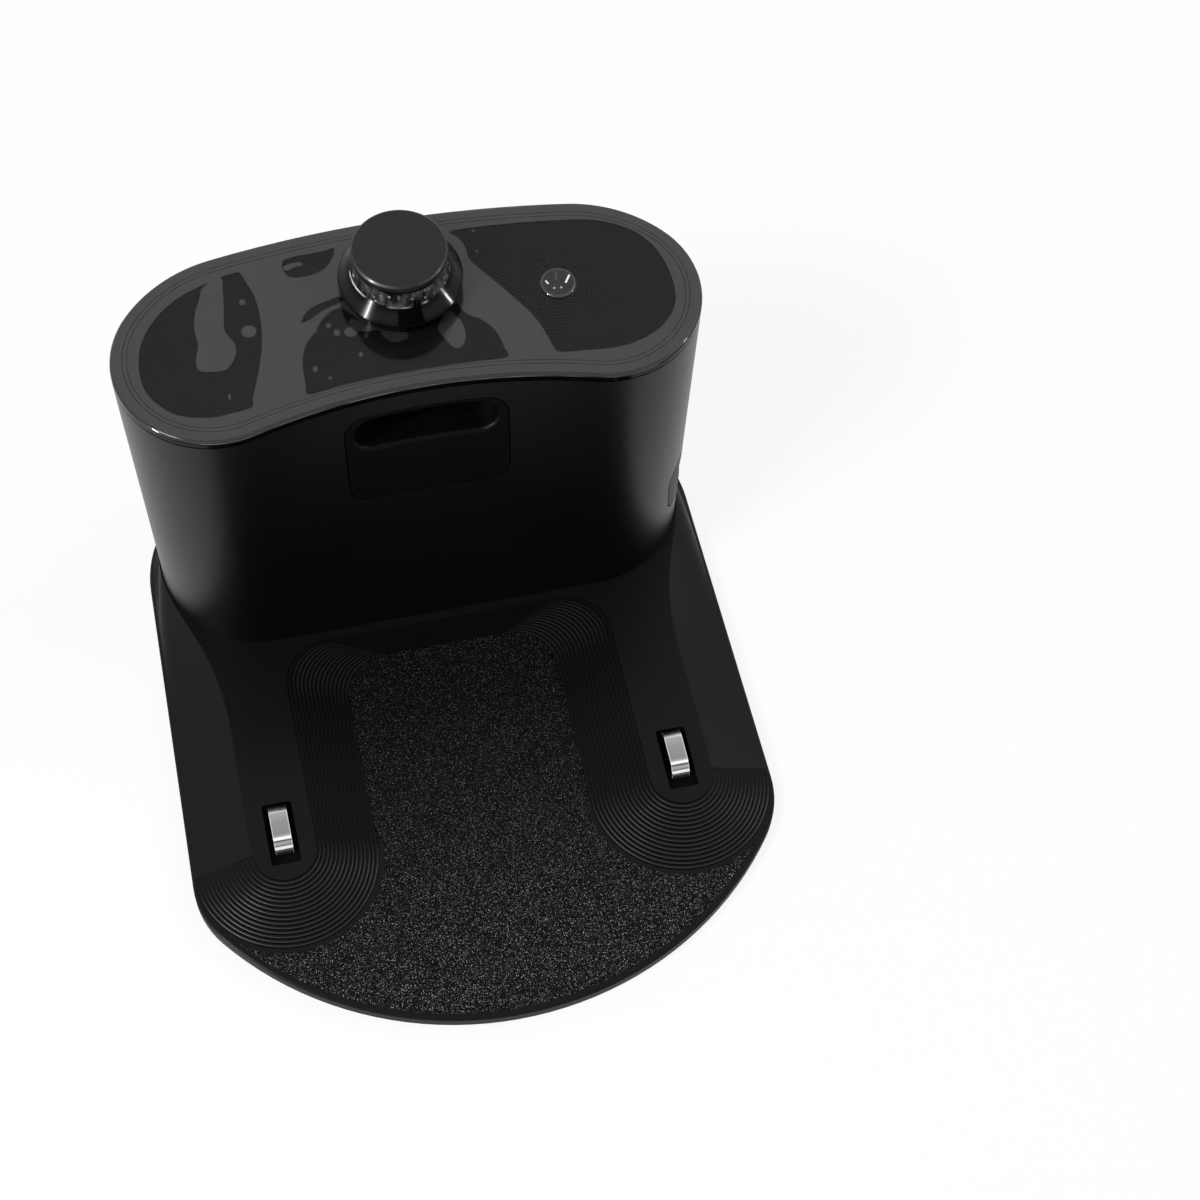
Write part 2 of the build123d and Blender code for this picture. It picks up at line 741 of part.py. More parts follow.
# Slot bezel: a plate that follows the wall, with a flange behind it and a soft-lipped slot
flange_outer = tower_form(tower_wall + guide_gap)
flange_inner = tower_form(tower_wall + guide_gap + bezel_flange_thickness)
with BuildPart() as bezel_plate:
    add(tower_outer)
    add(flange_inner, mode=Mode.SUBTRACT)
    with BuildSketch(Plane.XZ.offset(-foot_end_y)):
        with Locations((0, bezel_z)):
            RectangleRounded(2 * bezel_half_width, bezel_height, bezel_corner)
    extrude(amount=foot_end_y - base_front, mode=Mode.INTERSECT)
with BuildPart() as slot_bezel:
    add(flange_outer)
    add(flange_inner, mode=Mode.SUBTRACT)
    with BuildSketch(Plane.XZ.offset(-foot_end_y)):
        with Locations((0, bezel_top)):
            Rectangle(
                2 * (bezel_half_width + bezel_flange), bezel_height + bezel_flange,
                align=(Align.CENTER, Align.MAX),
            )
    extrude(amount=foot_end_y - base_front, mode=Mode.INTERSECT)
    add(bezel_plate.part)
    with BuildSketch(Plane.XZ.offset(-foot_end_y)):
        with Locations((0, slot_z)):
            SlotOverall(2 * slot_half_width, slot_height)
    extrude(amount=foot_end_y - base_front, mode=Mode.SUBTRACT)
    lip_edges = slot_bezel.edges(Select.LAST).filter_by(lambda edge: edge.center().Y < front_wall_y(slot_z))
    fillet(lip_edges, slot_lip)
slot_bezel.part.label = "slot_bezel"
export_step(slot_bezel.part, "parts/slot_bezel.step")

# Emitter holder: black sleeve behind the slot, split by a baffle
holder_space = tower_form(tower_wall + 2 * guide_gap + bezel_flange_thickness)
holder_front = front_wall_y(slot_z)
with BuildPart() as emitter_holder:
    add(holder_space)
    with Locations((0, holder_back, slot_z)):
        Box(
            2 * holder_half_width, holder_back - holder_front, slot_height + 2 * holder_wall,
            align=(Align.CENTER, Align.MAX, Align.CENTER), mode=Mode.INTERSECT,
        )
    with BuildSketch(Plane.XZ.offset(holder_back_wall - holder_back)):
        with Locations((0, slot_z)):
            SlotOverall(2 * (slot_half_width + guide_gap), slot_height + 2 * guide_gap)
    extrude(amount=holder_back, mode=Mode.SUBTRACT)
    with Locations((0, holder_back - holder_back_wall, slot_z)):
        Box(
            baffle_thickness, baffle_depth, slot_height + holder_wall,
            align=(Align.CENTER, Align.MAX, Align.CENTER),
        )
    with BuildSketch(Plane.XZ.offset(-holder_back)):
        with Locations(*[(side * holder_post_x, slot_z) for side in sides.values()]):
            Circle(holder_post_radius)
    extrude(amount=-holder_post_length)
    with BuildSketch(Plane.XZ.offset(-holder_back - holder_post_length)):
        with Locations(*[(side * holder_post_x, slot_z) for side in sides.values()]):
            Circle(pilot_radius)
        with Locations(*[(x, slot_z) for x in emitter_x.values()]):
            Circle(lamp_radius + carrier_gap)
    extrude(amount=holder_back_wall + holder_post_length, mode=Mode.SUBTRACT)
emitter_holder.part.label = "emitter_holder"
export_step(emitter_holder.part, "parts/emitter_holder.step")

# Homing emitters in the holder, looking out through the slot
for place, x in emitter_x.items():
    with BuildPart(Plane((x, holder_back + lamp_flange_height, slot_z), (1, 0, 0), (0, -1, 0))) as lamp:
        Cylinder(lamp_flange_radius, lamp_flange_height, align=stand)
        Cylinder(lamp_radius, lamp_flange_height + lamp_body_height, align=stand)
        with Locations((0, 0, lamp_flange_height + lamp_body_height)):
            Sphere(lamp_radius)
        with Locations((-lamp_leg_spacing / 2, 0), (lamp_leg_spacing / 2, 0)):
            Cylinder(lamp_leg_radius, holder_post_length - lamp_flange_height, align=hang)
    lamp.part.label = "homing_emitter_" + place
    export_step(lamp.part, "parts/homing_emitter_" + place + ".step")

# Emitter board on the posts of the holder
with BuildPart() as emitter_board:
    with BuildSketch(Plane.XZ.offset(-emitter_board_front)):
        with Locations((0, slot_z)):
            Rectangle(2 * emitter_board_half_width, emitter_board_height)
        with Locations(*[(side * holder_post_x, slot_z) for side in sides.values()]):
            Circle(clear_radius, mode=Mode.SUBTRACT)
    extrude(amount=-board_thickness)
emitter_board.part.label = "emitter_board"
export_step(emitter_board.part, "parts/emitter_board.step")

# Beacon lens: clear flared skirt and neck, turned about its own upright axis
with BuildPart() as beacon_lens:
    with BuildSketch(Plane.XZ.offset(-beacon_y)):
        with BuildLine():
            Polyline(
                (beacon_bore, lid_top - beacon_spigot_depth),
                (beacon_spigot_radius, lid_top - beacon_spigot_depth),
                (beacon_spigot_radius, lid_top),
                (beacon_foot_radius, lid_top),
                (beacon_ring_radius, beacon_ring_z),
                (beacon_ring_radius, beacon_ring_z + beacon_ring_land),
                (beacon_neck_radius, lid_top + beacon_neck_height),
                (beacon_crown_radius, beacon_crown_z),
                (beacon_crown_radius - beacon_wall, beacon_crown_z),
                (beacon_neck_radius - beacon_wall, lid_top + beacon_neck_height),
                (beacon_bore, beacon_ring_z + beacon_ring_land),
                close=True,
            )
        make_face()
    revolve(axis=beacon_axis)
    circles = beacon_lens.edges().filter_by(GeomType.CIRCLE)
    fillet(circles.group_by(SortBy.RADIUS)[-1], beacon_ring_round)
beacon_lens.part.label = "beacon_lens"
export_step(beacon_lens.part, "parts/beacon_lens.step")

# Beacon cap: black disc with a plug that drops into the neck
with BuildPart(Plane((0, beacon_y, beacon_crown_z))) as beacon_cap:
    Cylinder(cap_radius, cap_thickness, align=stand)
    chamfer(beacon_cap.edges().sort_by(Axis.Z)[-1], cap_edge_break)
    Cylinder(cap_plug_radius, cap_plug_depth, align=hang)
beacon_cap.part.label = "beacon_cap"
export_step(beacon_cap.part, "parts/beacon_cap.step")

# Beacon reflector: bright cone under the cap that throws the light out all round
with BuildPart(Plane((0, beacon_y, beacon_crown_z - cap_plug_depth))) as beacon_reflector:
    Cone(reflector_tip_radius, cap_plug_radius, reflector_length, align=hang)
beacon_reflector.part.label = "beacon_reflector"
export_step(beacon_reflector.part, "parts/beacon_reflector.step")

# Lid board hung from the posts of the lid
with BuildPart() as lid_board:
    with BuildSketch(Plane.XY.offset(lid_board_bottom)):
        with Locations((lid_board_left, lid_board_front)):
            Rectangle(
                lid_board_right - lid_board_left, lid_board_back - lid_board_front,
                align=(Align.MIN, Align.MIN),
            )
        with Locations(*lid_board_screws):
            Circle(clear_radius, mode=Mode.SUBTRACT)
    extrude(amount=board_thickness)
lid_board.part.label = "lid_board"
export_step(lid_board.part, "parts/lid_board.step")

# Beacon emitter and indicator lamp: round lamps that stand on the lid board on their legs
upright_lamps = {
    "beacon_emitter": (0, beacon_y, beacon_lamp_lift),
    "indicator_lamp": (indicator_x, indicator_y, indicator_lamp_lift),
}
for name, (x, y, lift) in upright_lamps.items():
    with BuildPart(Plane((x, y, lid_board_top + lift))) as lamp:
        Cylinder(lamp_flange_radius, lamp_flange_height, align=stand)
        Cylinder(lamp_radius, lamp_flange_height + lamp_body_height, align=stand)
        with Locations((0, 0, lamp_flange_height + lamp_body_height)):
            Sphere(lamp_radius)
        with Locations((-lamp_leg_spacing / 2, 0), (lamp_leg_spacing / 2, 0)):
            Cylinder(lamp_leg_radius, lift, align=hang)
    lamp.part.label = name
    export_step(lamp.part, "parts/" + name + ".step")

# Indicator lens: clear button with a low dome and a spigot through the lid
with BuildPart(Plane((indicator_x, indicator_y, lid_top))) as indicator_lens:
    Cylinder(indicator_radius, indicator_dome, align=stand)
    fillet(indicator_lens.edges().sort_by(Axis.Z)[-1], indicator_round)
    Cylinder(indicator_spigot_radius, indicator_spigot_depth, align=hang)
indicator_lens.part.label = "indicator_lens"
export_step(indicator_lens.part, "parts/indicator_lens.step")

# Mains inlet: block that fills an opening in the wall, with a pocket and a two-lobed well
with BuildPart() as mains_inlet:
    with BuildSketch(Plane.YZ.offset(inlet_face_x - inlet_depth)):
        add(inlet_plan(0))
    extrude(amount=2 * inlet_depth)
    add(tower_outer, mode=Mode.INTERSECT)
    with Locations((inlet_face_x - inlet_depth, inlet_y, deck_top)):
        Box(
            *inlet_pillar, inlet_sill + inlet_corner, align=(Align.MIN, Align.CENTER, Align.MIN)
        )
    with BuildSketch(Plane.YZ.offset(inlet_face_x)):
        with Locations((inlet_y, inlet_z)):
            RectangleRounded(*inlet_pocket)
    extrude(amount=inlet_depth, mode=Mode.SUBTRACT)
    with BuildSketch(Plane.YZ.offset(inlet_face_x)):
        with Locations((inlet_y, inlet_z)):
            Rectangle(inlet_pin_spacing, inlet_web_height)
        with Locations(*[(y, inlet_z) for y in inlet_pins_y]):
            Circle(inlet_lobe_radius)
    extrude(amount=-inlet_well_depth, mode=Mode.SUBTRACT)
    with BuildSketch(Plane.YZ.offset(inlet_face_x)):
        with Locations(*[(y, inlet_z) for y in inlet_pins_y]):
            Circle(inlet_pin_radius + pilot_gap)
    extrude(amount=-inlet_depth, mode=Mode.SUBTRACT)
mains_inlet.part.label = "mains_inlet"
export_step(mains_inlet.part, "parts/mains_inlet.step")

# Inlet pins: two round pins that run back through the block and down to the main board
with BuildPart() as inlet_pins:
    with Locations(*[(inlet_face_x - inlet_pin_setback, y, inlet_z) for y in inlet_pins_y]):
        Cylinder(
            inlet_pin_radius, inlet_face_x - inlet_pin_setback - inlet_tail_x,
            rotation=(0, 90, 0), align=hang,
        )
    fillet(inlet_pins.edges().group_by(Axis.X)[-1], inlet_pin_round)
    with Locations(*[(inlet_tail_x, y, main_board_top) for y in inlet_pins_y]):
        Cylinder(inlet_pin_radius, inlet_z - main_board_top, align=stand)
inlet_pins.part.label = "inlet_pins"
export_step(inlet_pins.part, "parts/inlet_pins.step")

# Main board on the posts of the deck
with BuildPart() as main_board:
    with BuildSketch(Plane.XY.offset(main_board_bottom)):
        with Locations((0, main_board_front)):
            Rectangle(
                2 * main_board_half_width, main_board_back - main_board_front,
                align=(Align.CENTER, Align.MIN),
            )
        with Locations(*board_screws):
            Circle(clear_radius, mode=Mode.SUBTRACT)
    extrude(amount=board_thickness)
main_board.part.label = "main_board"
export_step(main_board.part, "parts/main_board.step")

# Fuse: glass tube with a metal cap on each end, lying on the board
with BuildPart(on_board(fuse_at, fuse_cap_radius)) as fuse:
    Cylinder(fuse_tube_radius, fuse_length, rotation=(0, 90, 0))
    with Locations(*[(side * (fuse_length - fuse_cap_length) / 2, 0) for side in sides.values()]):
        Cylinder(fuse_cap_radius, fuse_cap_length, rotation=(0, 90, 0))
fuse.part.label = "fuse"
export_step(fuse.part, "parts/fuse.step")

# Filter choke: wound ring standing in a flat base
with BuildPart(on_board(choke_at)) as filter_choke:
    with Locations((0, 0, choke_ring_radius + choke_wire_radius)):
        Torus(choke_ring_radius, choke_wire_radius, rotation=(90, 0, 0))
    Box(2 * choke_ring_radius, 3 * choke_wire_radius, choke_base, align=stand)
filter_choke.part.label = "filter_choke"
export_step(filter_choke.part, "parts/filter_choke.step")

# Bridge rectifier: flat block on edge, with one corner cut to mark its polarity
with BuildPart(on_board(bridge_at)) as bridge_rectifier:
    Box(bridge_length, bridge_thickness, bridge_height, align=stand)
    chamfer(bridge_rectifier.edges().filter_by(Axis.Y).group_by(Axis.Z)[-1][0], bridge_corner)
bridge_rectifier.part.label = "bridge_rectifier"
export_step(bridge_rectifier.part, "parts/bridge_rectifier.step")

# Bulk capacitor: can with a rolled groove near its foot
with BuildPart(on_board(bulk_at)) as bulk_capacitor:
    Cylinder(bulk_radius, bulk_height, align=stand)
    chamfer(bulk_capacitor.edges().sort_by(Axis.Z)[-1], can_edge_break)
    with Locations((0, 0, can_groove_height)):
        Torus(bulk_radius, can_groove_radius, mode=Mode.SUBTRACT)
bulk_capacitor.part.label = "bulk_capacitor"
export_step(bulk_capacitor.part, "parts/bulk_capacitor.step")

# Output capacitors: two smaller cans side by side
with BuildPart(*[on_board(place) for place in output_at]) as output_capacitors:
    Cylinder(output_radius, output_height, align=stand)
    chamfer(output_capacitors.edges().group_by(Axis.Z)[-1], can_edge_break)
output_capacitors.part.label = "output_capacitors"
export_step(output_capacitors.part, "parts/output_capacitors.step")

# Transformer: a pair of E cores round a wound bobbin
with BuildPart(on_board(transformer_at)) as transformer_core:
    with Locations((0, 0, winding_flange)):
        Box(core_length, core_depth, core_height, align=stand)
        with Locations((0, 0, core_leg)):
            Box(
                core_length - 2 * core_leg, core_depth, core_height - 2 * core_leg, align=stand,
                mode=Mode.SUBTRACT,
            )
        Box(core_middle, core_depth, core_height, align=stand)
transformer_core.part.label = "transformer_core"
export_step(transformer_core.part, "parts/transformer_core.step")

winding_height = core_height - 2 * core_leg - 2 * carrier_gap
winding_half = core_length / 2 - core_leg - carrier_gap
winding_floor = winding_flange + core_leg + carrier_gap
with BuildPart(on_board(transformer_at)) as transformer_winding:
    with Locations((0, 0, winding_floor)):
        Box(2 * winding_half, core_depth + 2 * winding_bulge, winding_height, align=stand)
        fillet(transformer_winding.edges().filter_by(Axis.Z), winding_bulge)
    with Locations(*[(0, side * (core_depth + winding_bulge) / 2) for side in sides.values()]):
        Box(core_length, winding_bulge - 2 * carrier_gap, winding_floor, align=stand)
    with Locations((0, 0, winding_flange)):
        Box(
            core_middle + 2 * carrier_gap, core_depth + 2 * carrier_gap, core_height, align=stand,
            mode=Mode.SUBTRACT,
        )
transformer_winding.part.label = "transformer_winding"
export_step(transformer_winding.part, "parts/transformer_winding.step")

# Heat sink: upright plate with fins, and the switch transistor clamped to it
with BuildPart(on_board(sink_at)) as heat_sink:
    Box(sink_length, sink_plate, sink_height, align=stand)
    with GridLocations(sink_length / (sink_fins - 1) - sink_plate / 2, 0, sink_fins, 1):
        Box(sink_plate / 2, sink_fin_depth, sink_height, align=(Align.CENTER, Align.MAX, Align.MIN))
heat_sink.part.label = "heat_sink"
export_step(heat_sink.part, "parts/heat_sink.step")

with BuildPart(on_board(sink_at)) as switch_transistor:
    with Locations((0, sink_plate / 2, transistor_lift)):
        Box(transistor_width, transistor_depth, transistor_height, align=from_front)
    with GridLocations(lamp_leg_spacing, 0, 3, 1):
        with Locations((0, (sink_plate + transistor_depth) / 2)):
            Box(transistor_leg, transistor_leg, transistor_lift, align=stand)
switch_transistor.part.label = "switch_transistor"
export_step(switch_transistor.part, "parts/switch_transistor.step")

# Control chip: low moulded block flat on the board
with BuildPart(on_board(chip_at)) as control_chip:
    Box(*chip_size, align=stand)
    chamfer(control_chip.edges().group_by(Axis.Z)[-1], chip_break)
control_chip.part.label = "control_chip"
export_step(control_chip.part, "parts/control_chip.step")

# Contacts: each is a bent strip over a carrier that slides in its slot on a coil spring
strip_top = deck_top + contact_rise
strip_middle = strip_thickness / 2
leg_middle = strip_half_length - strip_middle
terminal_top = cover_top + terminal_thickness
spring_floor = terminal_top + spring_wire_radius
spring_height = tail_bottom - terminal_top - 2 * spring_wire_radius
lead_z = terminal_top + lead_radius + carrier_gap
for place, (x, y), (rise_x, rise_y) in zip(sides, contacts, lead_holes):
    with BuildPart() as contact_strip:
        with BuildSketch(Plane.YZ.offset(x)) as strip_section:
            with BuildLine() as strip_line:
                FilletPolyline(
                    (y - leg_middle, flange_top + carrier_gap),
                    (y - leg_middle, strip_top - strip_middle - strip_bevel),
                    (y - leg_middle + strip_bevel, strip_top - strip_middle),
                    (y + leg_middle - strip_bevel, strip_top - strip_middle),
                    (y + leg_middle, strip_top - strip_middle - strip_bevel),
                    (y + leg_middle, tail_bottom + strip_middle),
                    (y - strip_tail_reach, tail_bottom + strip_middle),
                    radius=strip_bend,
                )
            trace(line_width=strip_thickness)
        extrude(amount=strip_width / 2, both=True)
    contact_strip.part.label = "contact_strip_" + place
    export_step(contact_strip.part, "parts/contact_strip_" + place + ".step")

    with BuildPart(Plane((x, y, 0))) as contact_carrier:
        with Locations((0, 0, flange_bottom)):
            Box(
                2 * carrier_flange_half_width, 2 * carrier_flange_half_length,
                carrier_flange_thickness, align=stand,
            )
        block_half_length = strip_half_length - strip_thickness - carrier_gap
        with BuildSketch(Plane.YZ.offset(x - carrier_block_width / 2)):
            with Locations((y, flange_top)):
                Rectangle(
                    2 * block_half_length, strip_top - strip_thickness - carrier_gap - flange_top,
                    align=(Align.CENTER, Align.MIN),
                )
        extrude(amount=carrier_block_width)
        chamfer(
            contact_carrier.edges().filter_by(Axis.X).group_by(Axis.Z)[-1],
            strip_bevel + carrier_gap,
        )
        # Slot for the back leg of the strip and its bend under the flange
        with Locations((0, strip_half_length + carrier_gap, flange_bottom)):
            Box(
                strip_width + 2 * carrier_gap, strip_thickness + strip_bend + 2 * carrier_gap,
                carrier_flange_thickness, align=(Align.CENTER, Align.MAX, Align.MIN),
                mode=Mode.SUBTRACT,
            )
    contact_carrier.part.label = "contact_carrier_" + place
    export_step(contact_carrier.part, "parts/contact_carrier_" + place + ".step")

    with BuildPart() as contact_spring:
        with BuildLine():
            pitch = spring_height / spring_turns
            coil = Helix(pitch, spring_height, spring_radius, (x, y, spring_floor))
        with BuildSketch(Plane(coil @ 0, z_dir=coil % 0)):
            RegularPolygon(spring_wire_radius, spring_wire_sides)
        sweep(is_frenet=True)
    contact_spring.part.label = "contact_spring_" + place
    export_step(contact_spring.part, "parts/contact_spring_" + place + ".step")

    with BuildPart(Plane((x, y, cover_top))) as spring_terminal:
        with Locations((0, 0)):
            Cylinder(terminal_radius, terminal_thickness, align=stand)
            Box(terminal_tab_width, terminal_tab_length, terminal_thickness, align=from_front)
            Cylinder(
                spring_post_radius + guide_gap, terminal_thickness, align=stand,
                mode=Mode.SUBTRACT,
            )
    spring_terminal.part.label = "spring_terminal_" + place
    export_step(spring_terminal.part, "parts/spring_terminal_" + place + ".step")

    with BuildPart() as contact_lead:
        with BuildLine():
            route = FilletPolyline(
                (x, y + lead_start, lead_z),
                (x, tower_front - lead_turn_gap, lead_z),
                (rise_x, rise_y, lead_z),
                (rise_x, rise_y, main_board_bottom),
                radius=[lead_turn_radius, lead_rise_radius],
            )
        with BuildSketch(Plane(route @ 0, z_dir=route % 0)):
            Circle(lead_radius)
        sweep()
    contact_lead.part.label = "contact_lead_" + place
    export_step(contact_lead.part, "parts/contact_lead_" + place + ".step")

# Cables up the tower, from the main board to the emitter board and to the lid board
emitter_cable_y = emitter_board_front + board_thickness / 2
emitter_cable_top = slot_z - emitter_board_height / 2
cables = {
    "emitter_cable": (emitter_cable_x, emitter_cable_y, emitter_cable_top, -cable_bow),
    "lid_cable": (lid_cable[0], tower_front + lid_cable[1], lid_board_bottom, cable_bow),
}
for name, (x, y, top, bow) in cables.items():
    third = (top - main_board_top) / 3
    with BuildPart() as cable:
        with BuildLine():
            route = FilletPolyline(
                (x, y, main_board_top),
                (x, y, main_board_top + cable_straight),
                (x, y + bow, main_board_top + third),
                (x, y + bow, top - third),
                (x, y, top - cable_straight),
                (x, y, top),
                radius=cable_bow_radius,
            )
        with BuildSketch(Plane(route @ 0, z_dir=route % 0)):
            Circle(cable_radius)
        sweep()
    cable.part.label = name
    export_step(cable.part, "parts/" + name + ".step")

# Case screws: one kind throughout, each given by the seat of its head and its direction
screw_seats = []
screw_seats += [Plane((x, y, cup_seat)) for x, y in cover_screws]
screw_seats += [Plane((x, y, deck_ceiling)) for x, y in tower_screws]
screw_seats += [Plane((x, y, lid_lug_bottom)) for x, y in lid_screws]
screw_seats += [Plane((x, y, lid_board_bottom)) for x, y in lid_board_screws]
screw_seats += [Plane((x, y, main_board_top), z_dir=(0, 0, -1)) for x, y in board_screws]
screw_seats += [
    Plane((side * holder_post_x, emitter_board_front + board_thickness, slot_z), z_dir=(0, -1, 0))
    for side in sides.values()
]
with BuildPart(*screw_seats) as case_screws:
    Cylinder(screw_shank_radius, screw_shank_length, align=stand)
    Cylinder(screw_head_radius, screw_head_height, align=hang)
case_screws.part.label = "case_screws"
export_step(case_screws.part, "parts/case_screws.step")
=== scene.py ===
import math
import bmesh
import bpy
from mathutils import Matrix, Vector
from mathutils.geometry import delaunay_2d_cdt


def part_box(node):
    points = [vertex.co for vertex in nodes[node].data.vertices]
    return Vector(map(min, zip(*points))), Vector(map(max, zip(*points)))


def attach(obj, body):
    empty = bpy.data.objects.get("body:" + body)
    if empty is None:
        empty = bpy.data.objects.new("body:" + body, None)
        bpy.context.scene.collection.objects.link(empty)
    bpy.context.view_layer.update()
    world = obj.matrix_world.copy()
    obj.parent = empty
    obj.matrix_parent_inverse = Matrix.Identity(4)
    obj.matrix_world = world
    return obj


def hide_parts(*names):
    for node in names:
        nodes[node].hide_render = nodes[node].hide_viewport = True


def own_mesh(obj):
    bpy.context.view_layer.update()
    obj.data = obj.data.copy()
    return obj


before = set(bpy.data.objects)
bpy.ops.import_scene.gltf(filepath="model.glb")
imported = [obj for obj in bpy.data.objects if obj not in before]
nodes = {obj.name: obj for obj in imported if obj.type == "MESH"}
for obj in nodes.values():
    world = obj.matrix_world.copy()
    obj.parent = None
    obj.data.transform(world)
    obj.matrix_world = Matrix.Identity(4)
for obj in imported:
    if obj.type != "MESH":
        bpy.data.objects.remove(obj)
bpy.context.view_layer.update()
MM = 0.001


# Base deck: one black moulding that lies on the floor, with terraced legs that lead the robot in.
# It is satin all over, apart from the low apron between the legs, which has a coarse sparkling
# grain eroded into its mould and a smooth border along the front edge.
class Term:
    """One value in a finish. Arithmetic on it adds Math nodes."""

    def __init__(self, finish, made, output):
        self.finish = finish
        self.made = made
        self.socket = made.outputs[output]

    def out(self, output):
        return Term(self.finish, self.made, output)

    def math(self, operation, first, second):
        return self.finish.node("ShaderNodeMath", {"operation": operation}, {0: first, 1: second})

    def __add__(self, other):
        return self.math("ADD", self, other)

    def __sub__(self, other):
        return self.math("SUBTRACT", self, other)

    def __rsub__(self, other):
        return self.math("SUBTRACT", other, self)

    def __mul__(self, other):
        return self.math("MULTIPLY", self, other)

    def __pow__(self, other):
        return self.math("POWER", self, other)

    def __gt__(self, other):
        return self.math("GREATER_THAN", self, other)

    def __lt__(self, other):
        return self.math("LESS_THAN", self, other)

    def __abs__(self):
        return self.math("ABSOLUTE", self, 0.0)

    __radd__ = __add__
    __rmul__ = __mul__


class Finish:
    """A procedural material. Its patterns lie on Object coordinates, in metres."""

    def __init__(self, name, **plain):
        self.material = bpy.data.materials.new(name)
        self.material.use_nodes = True
        self.tree = self.material.node_tree
        self.shader = self.tree.nodes["Principled BSDF"]
        self.place = self.node("ShaderNodeTexCoord", output="Object")
        for key, value in plain.items():
            self.surface(key.replace("_", " ").title().replace("Ior", "IOR"), value)

    def put(self, socket, value):
        if isinstance(value, Term):
            self.tree.links.new(value.socket, socket)
        else:
            socket.default_value = value

    def node(self, kind, settings=None, inputs=None, output=0):
        """Any node: its settings first, such as a ramp's stops, then its sockets' values or links."""
        made = self.tree.nodes.new(kind)
        for key, value in (settings or {}).items():
            if key == "stops":
                self.set_stops(made.color_ramp.elements, value)
            else:
                setattr(made, key, value)
        for key, value in (inputs or {}).items():
            self.put(made.inputs[key], value)
        return Term(self, made, output)

    def set_stops(self, elements, stops):
        """Greys along a ramp. Each stop is a place from 0 to 1 and a brightness."""
        for place, brightness in stops[1:-1]:
            elements.new(place).color = grey(brightness)
        for element, (place, brightness) in ((elements[0], stops[0]), (elements[-1], stops[-1])):
            element.position = place
            element.color = grey(brightness)

    def surface(self, socket, value):
        self.put(self.shader.inputs[socket], value)

    def axes(self):
        split = self.node("ShaderNodeSeparateXYZ", {}, {0: self.place})
        return split, split.out("Y"), split.out("Z")

    def noise(self, scale, detail=2.0, stretch=(1.0, 1.0, 1.0)):
        """Noise from 0 to 1 with that many lumps to the metre, drawn out along an axis."""
        where = self.node("ShaderNodeVectorMath", {"operation": "MULTIPLY"}, {0: self.place, 1: stretch})
        return self.node("ShaderNodeTexNoise", {}, {"Vector": where, "Scale": scale, "Detail": detail})

    def cells(self, scale, output="Distance"):
        inputs = {"Vector": self.place, "Scale": scale}
        return self.node("ShaderNodeTexVoronoi", {}, inputs, output)

    def ease(self, value, low, high):
        """0 up to low, 1 from high, smooth between."""
        inputs = {"Value": value, "From Min": low, "From Max": high}
        return self.node("ShaderNodeMapRange", {"interpolation_type": "SMOOTHSTEP"}, inputs)

    def mix(self, share, first, second):
        inputs = {0: share, 6: first, 7: second}
        return self.node("ShaderNodeMix", {"data_type": "RGBA"}, inputs, 2)

    def bump(self, height, depth, strength=1.0):
        inputs = {"Strength": strength, "Distance": depth, "Height": height}
        self.surface("Normal", self.node("ShaderNodeBump", {}, inputs, "Normal"))


def grey(value, warmth=0.0):
    return (value * (1 + warmth), value, value * (1 - warmth), 1.0)


def dress(finish, *names):
    """Gives CAD nodes one finish."""
    for name in names:
        mesh = nodes[name].data
        mesh.materials.clear()
        mesh.materials.append(finish.material)


apron_top = 5.0 * MM
apron_slack = 0.2 * MM
bow_y = 1.8 * MM
bow_radius = 100.3 * MM
border_width = 1.9 * MM
nose_x = 58.0 * MM
nose_y = -39.7 * MM
nose_reach = 27.9 * MM
leg_flat_half_width = 9.2 * MM
terrace_count = 16
terrace_tread = 1.144 * MM
pocket_back = 19.7 * MM
pocket_back_step = 0.269 * MM
pocket_corner = 13.0 * MM
pocket_half_width = nose_x - leg_flat_half_width - terrace_count * terrace_tread
deck_black = 0.0035
# Colour of the painted highlight on the terrace lips.
lip_shine = 0.032
grain_black = 0.0016
# Colour of the painted glints on the grain's specks.
grain_glint = 0.38
grain_coarse, grain_fine, grain_large = (1850.0, 0.10, 0.34), (3200.0, 0.10, 0.42), (1450.0, 0.08, 0.30)
# The painted glints grow brighter, and bigger ones come in, towards the front where more light falls.
front_glint_run = (-15 * MM, 85 * MM)
big_glint_run = (25 * MM, 85 * MM)
nose_light_run = 12 * MM
nose_light_inner = -3 * MM
nose_light_outer = 1 * MM
corner_light = (5 * MM, 14 * MM)
corner_light_rings = (0.9, 2.5)
# Strength of the painted light and shade on the rings: everywhere, round the nose, round the pocket's
# corner.
ring_light_all, ring_light_nose, ring_light_corner = 0.05, 0.95, 0.55


def specks(finish, scale, small, large):
    """Round specks of random brightness, one to a cell, that fade from a small to a large radius."""
    chance = finish.node("ShaderNodeSeparateColor", {}, {0: finish.cells(scale, "Color")})
    return (1 - finish.ease(finish.cells(scale), small, large)) * chance**2


deck_finish = Finish("deck_moulding", specular_ior_level=0.02, coat_ior=1.5, coat_roughness=0.26)
x, y, z = deck_finish.axes()
across = abs(x)
to_front = 0 - y
to_bow = (x * x + (y - bow_y) ** 2) ** 0.5
to_nose = ((across - nose_x) ** 2 + (y - nose_y) ** 2) ** 0.5
low = deck_finish.node(
    "ShaderNodeMath", {"operation": "COMPARE"}, {0: z, 1: apron_top, 2: apron_slack}
)
field = low * (to_bow < bow_radius - border_width)
between = (across < nose_x) * (y > nose_y)
outside = (across > nose_x) * (y > nose_y)
grained = field * (1 - (1 - between) * (to_nose < nose_reach)) * (1 - outside)
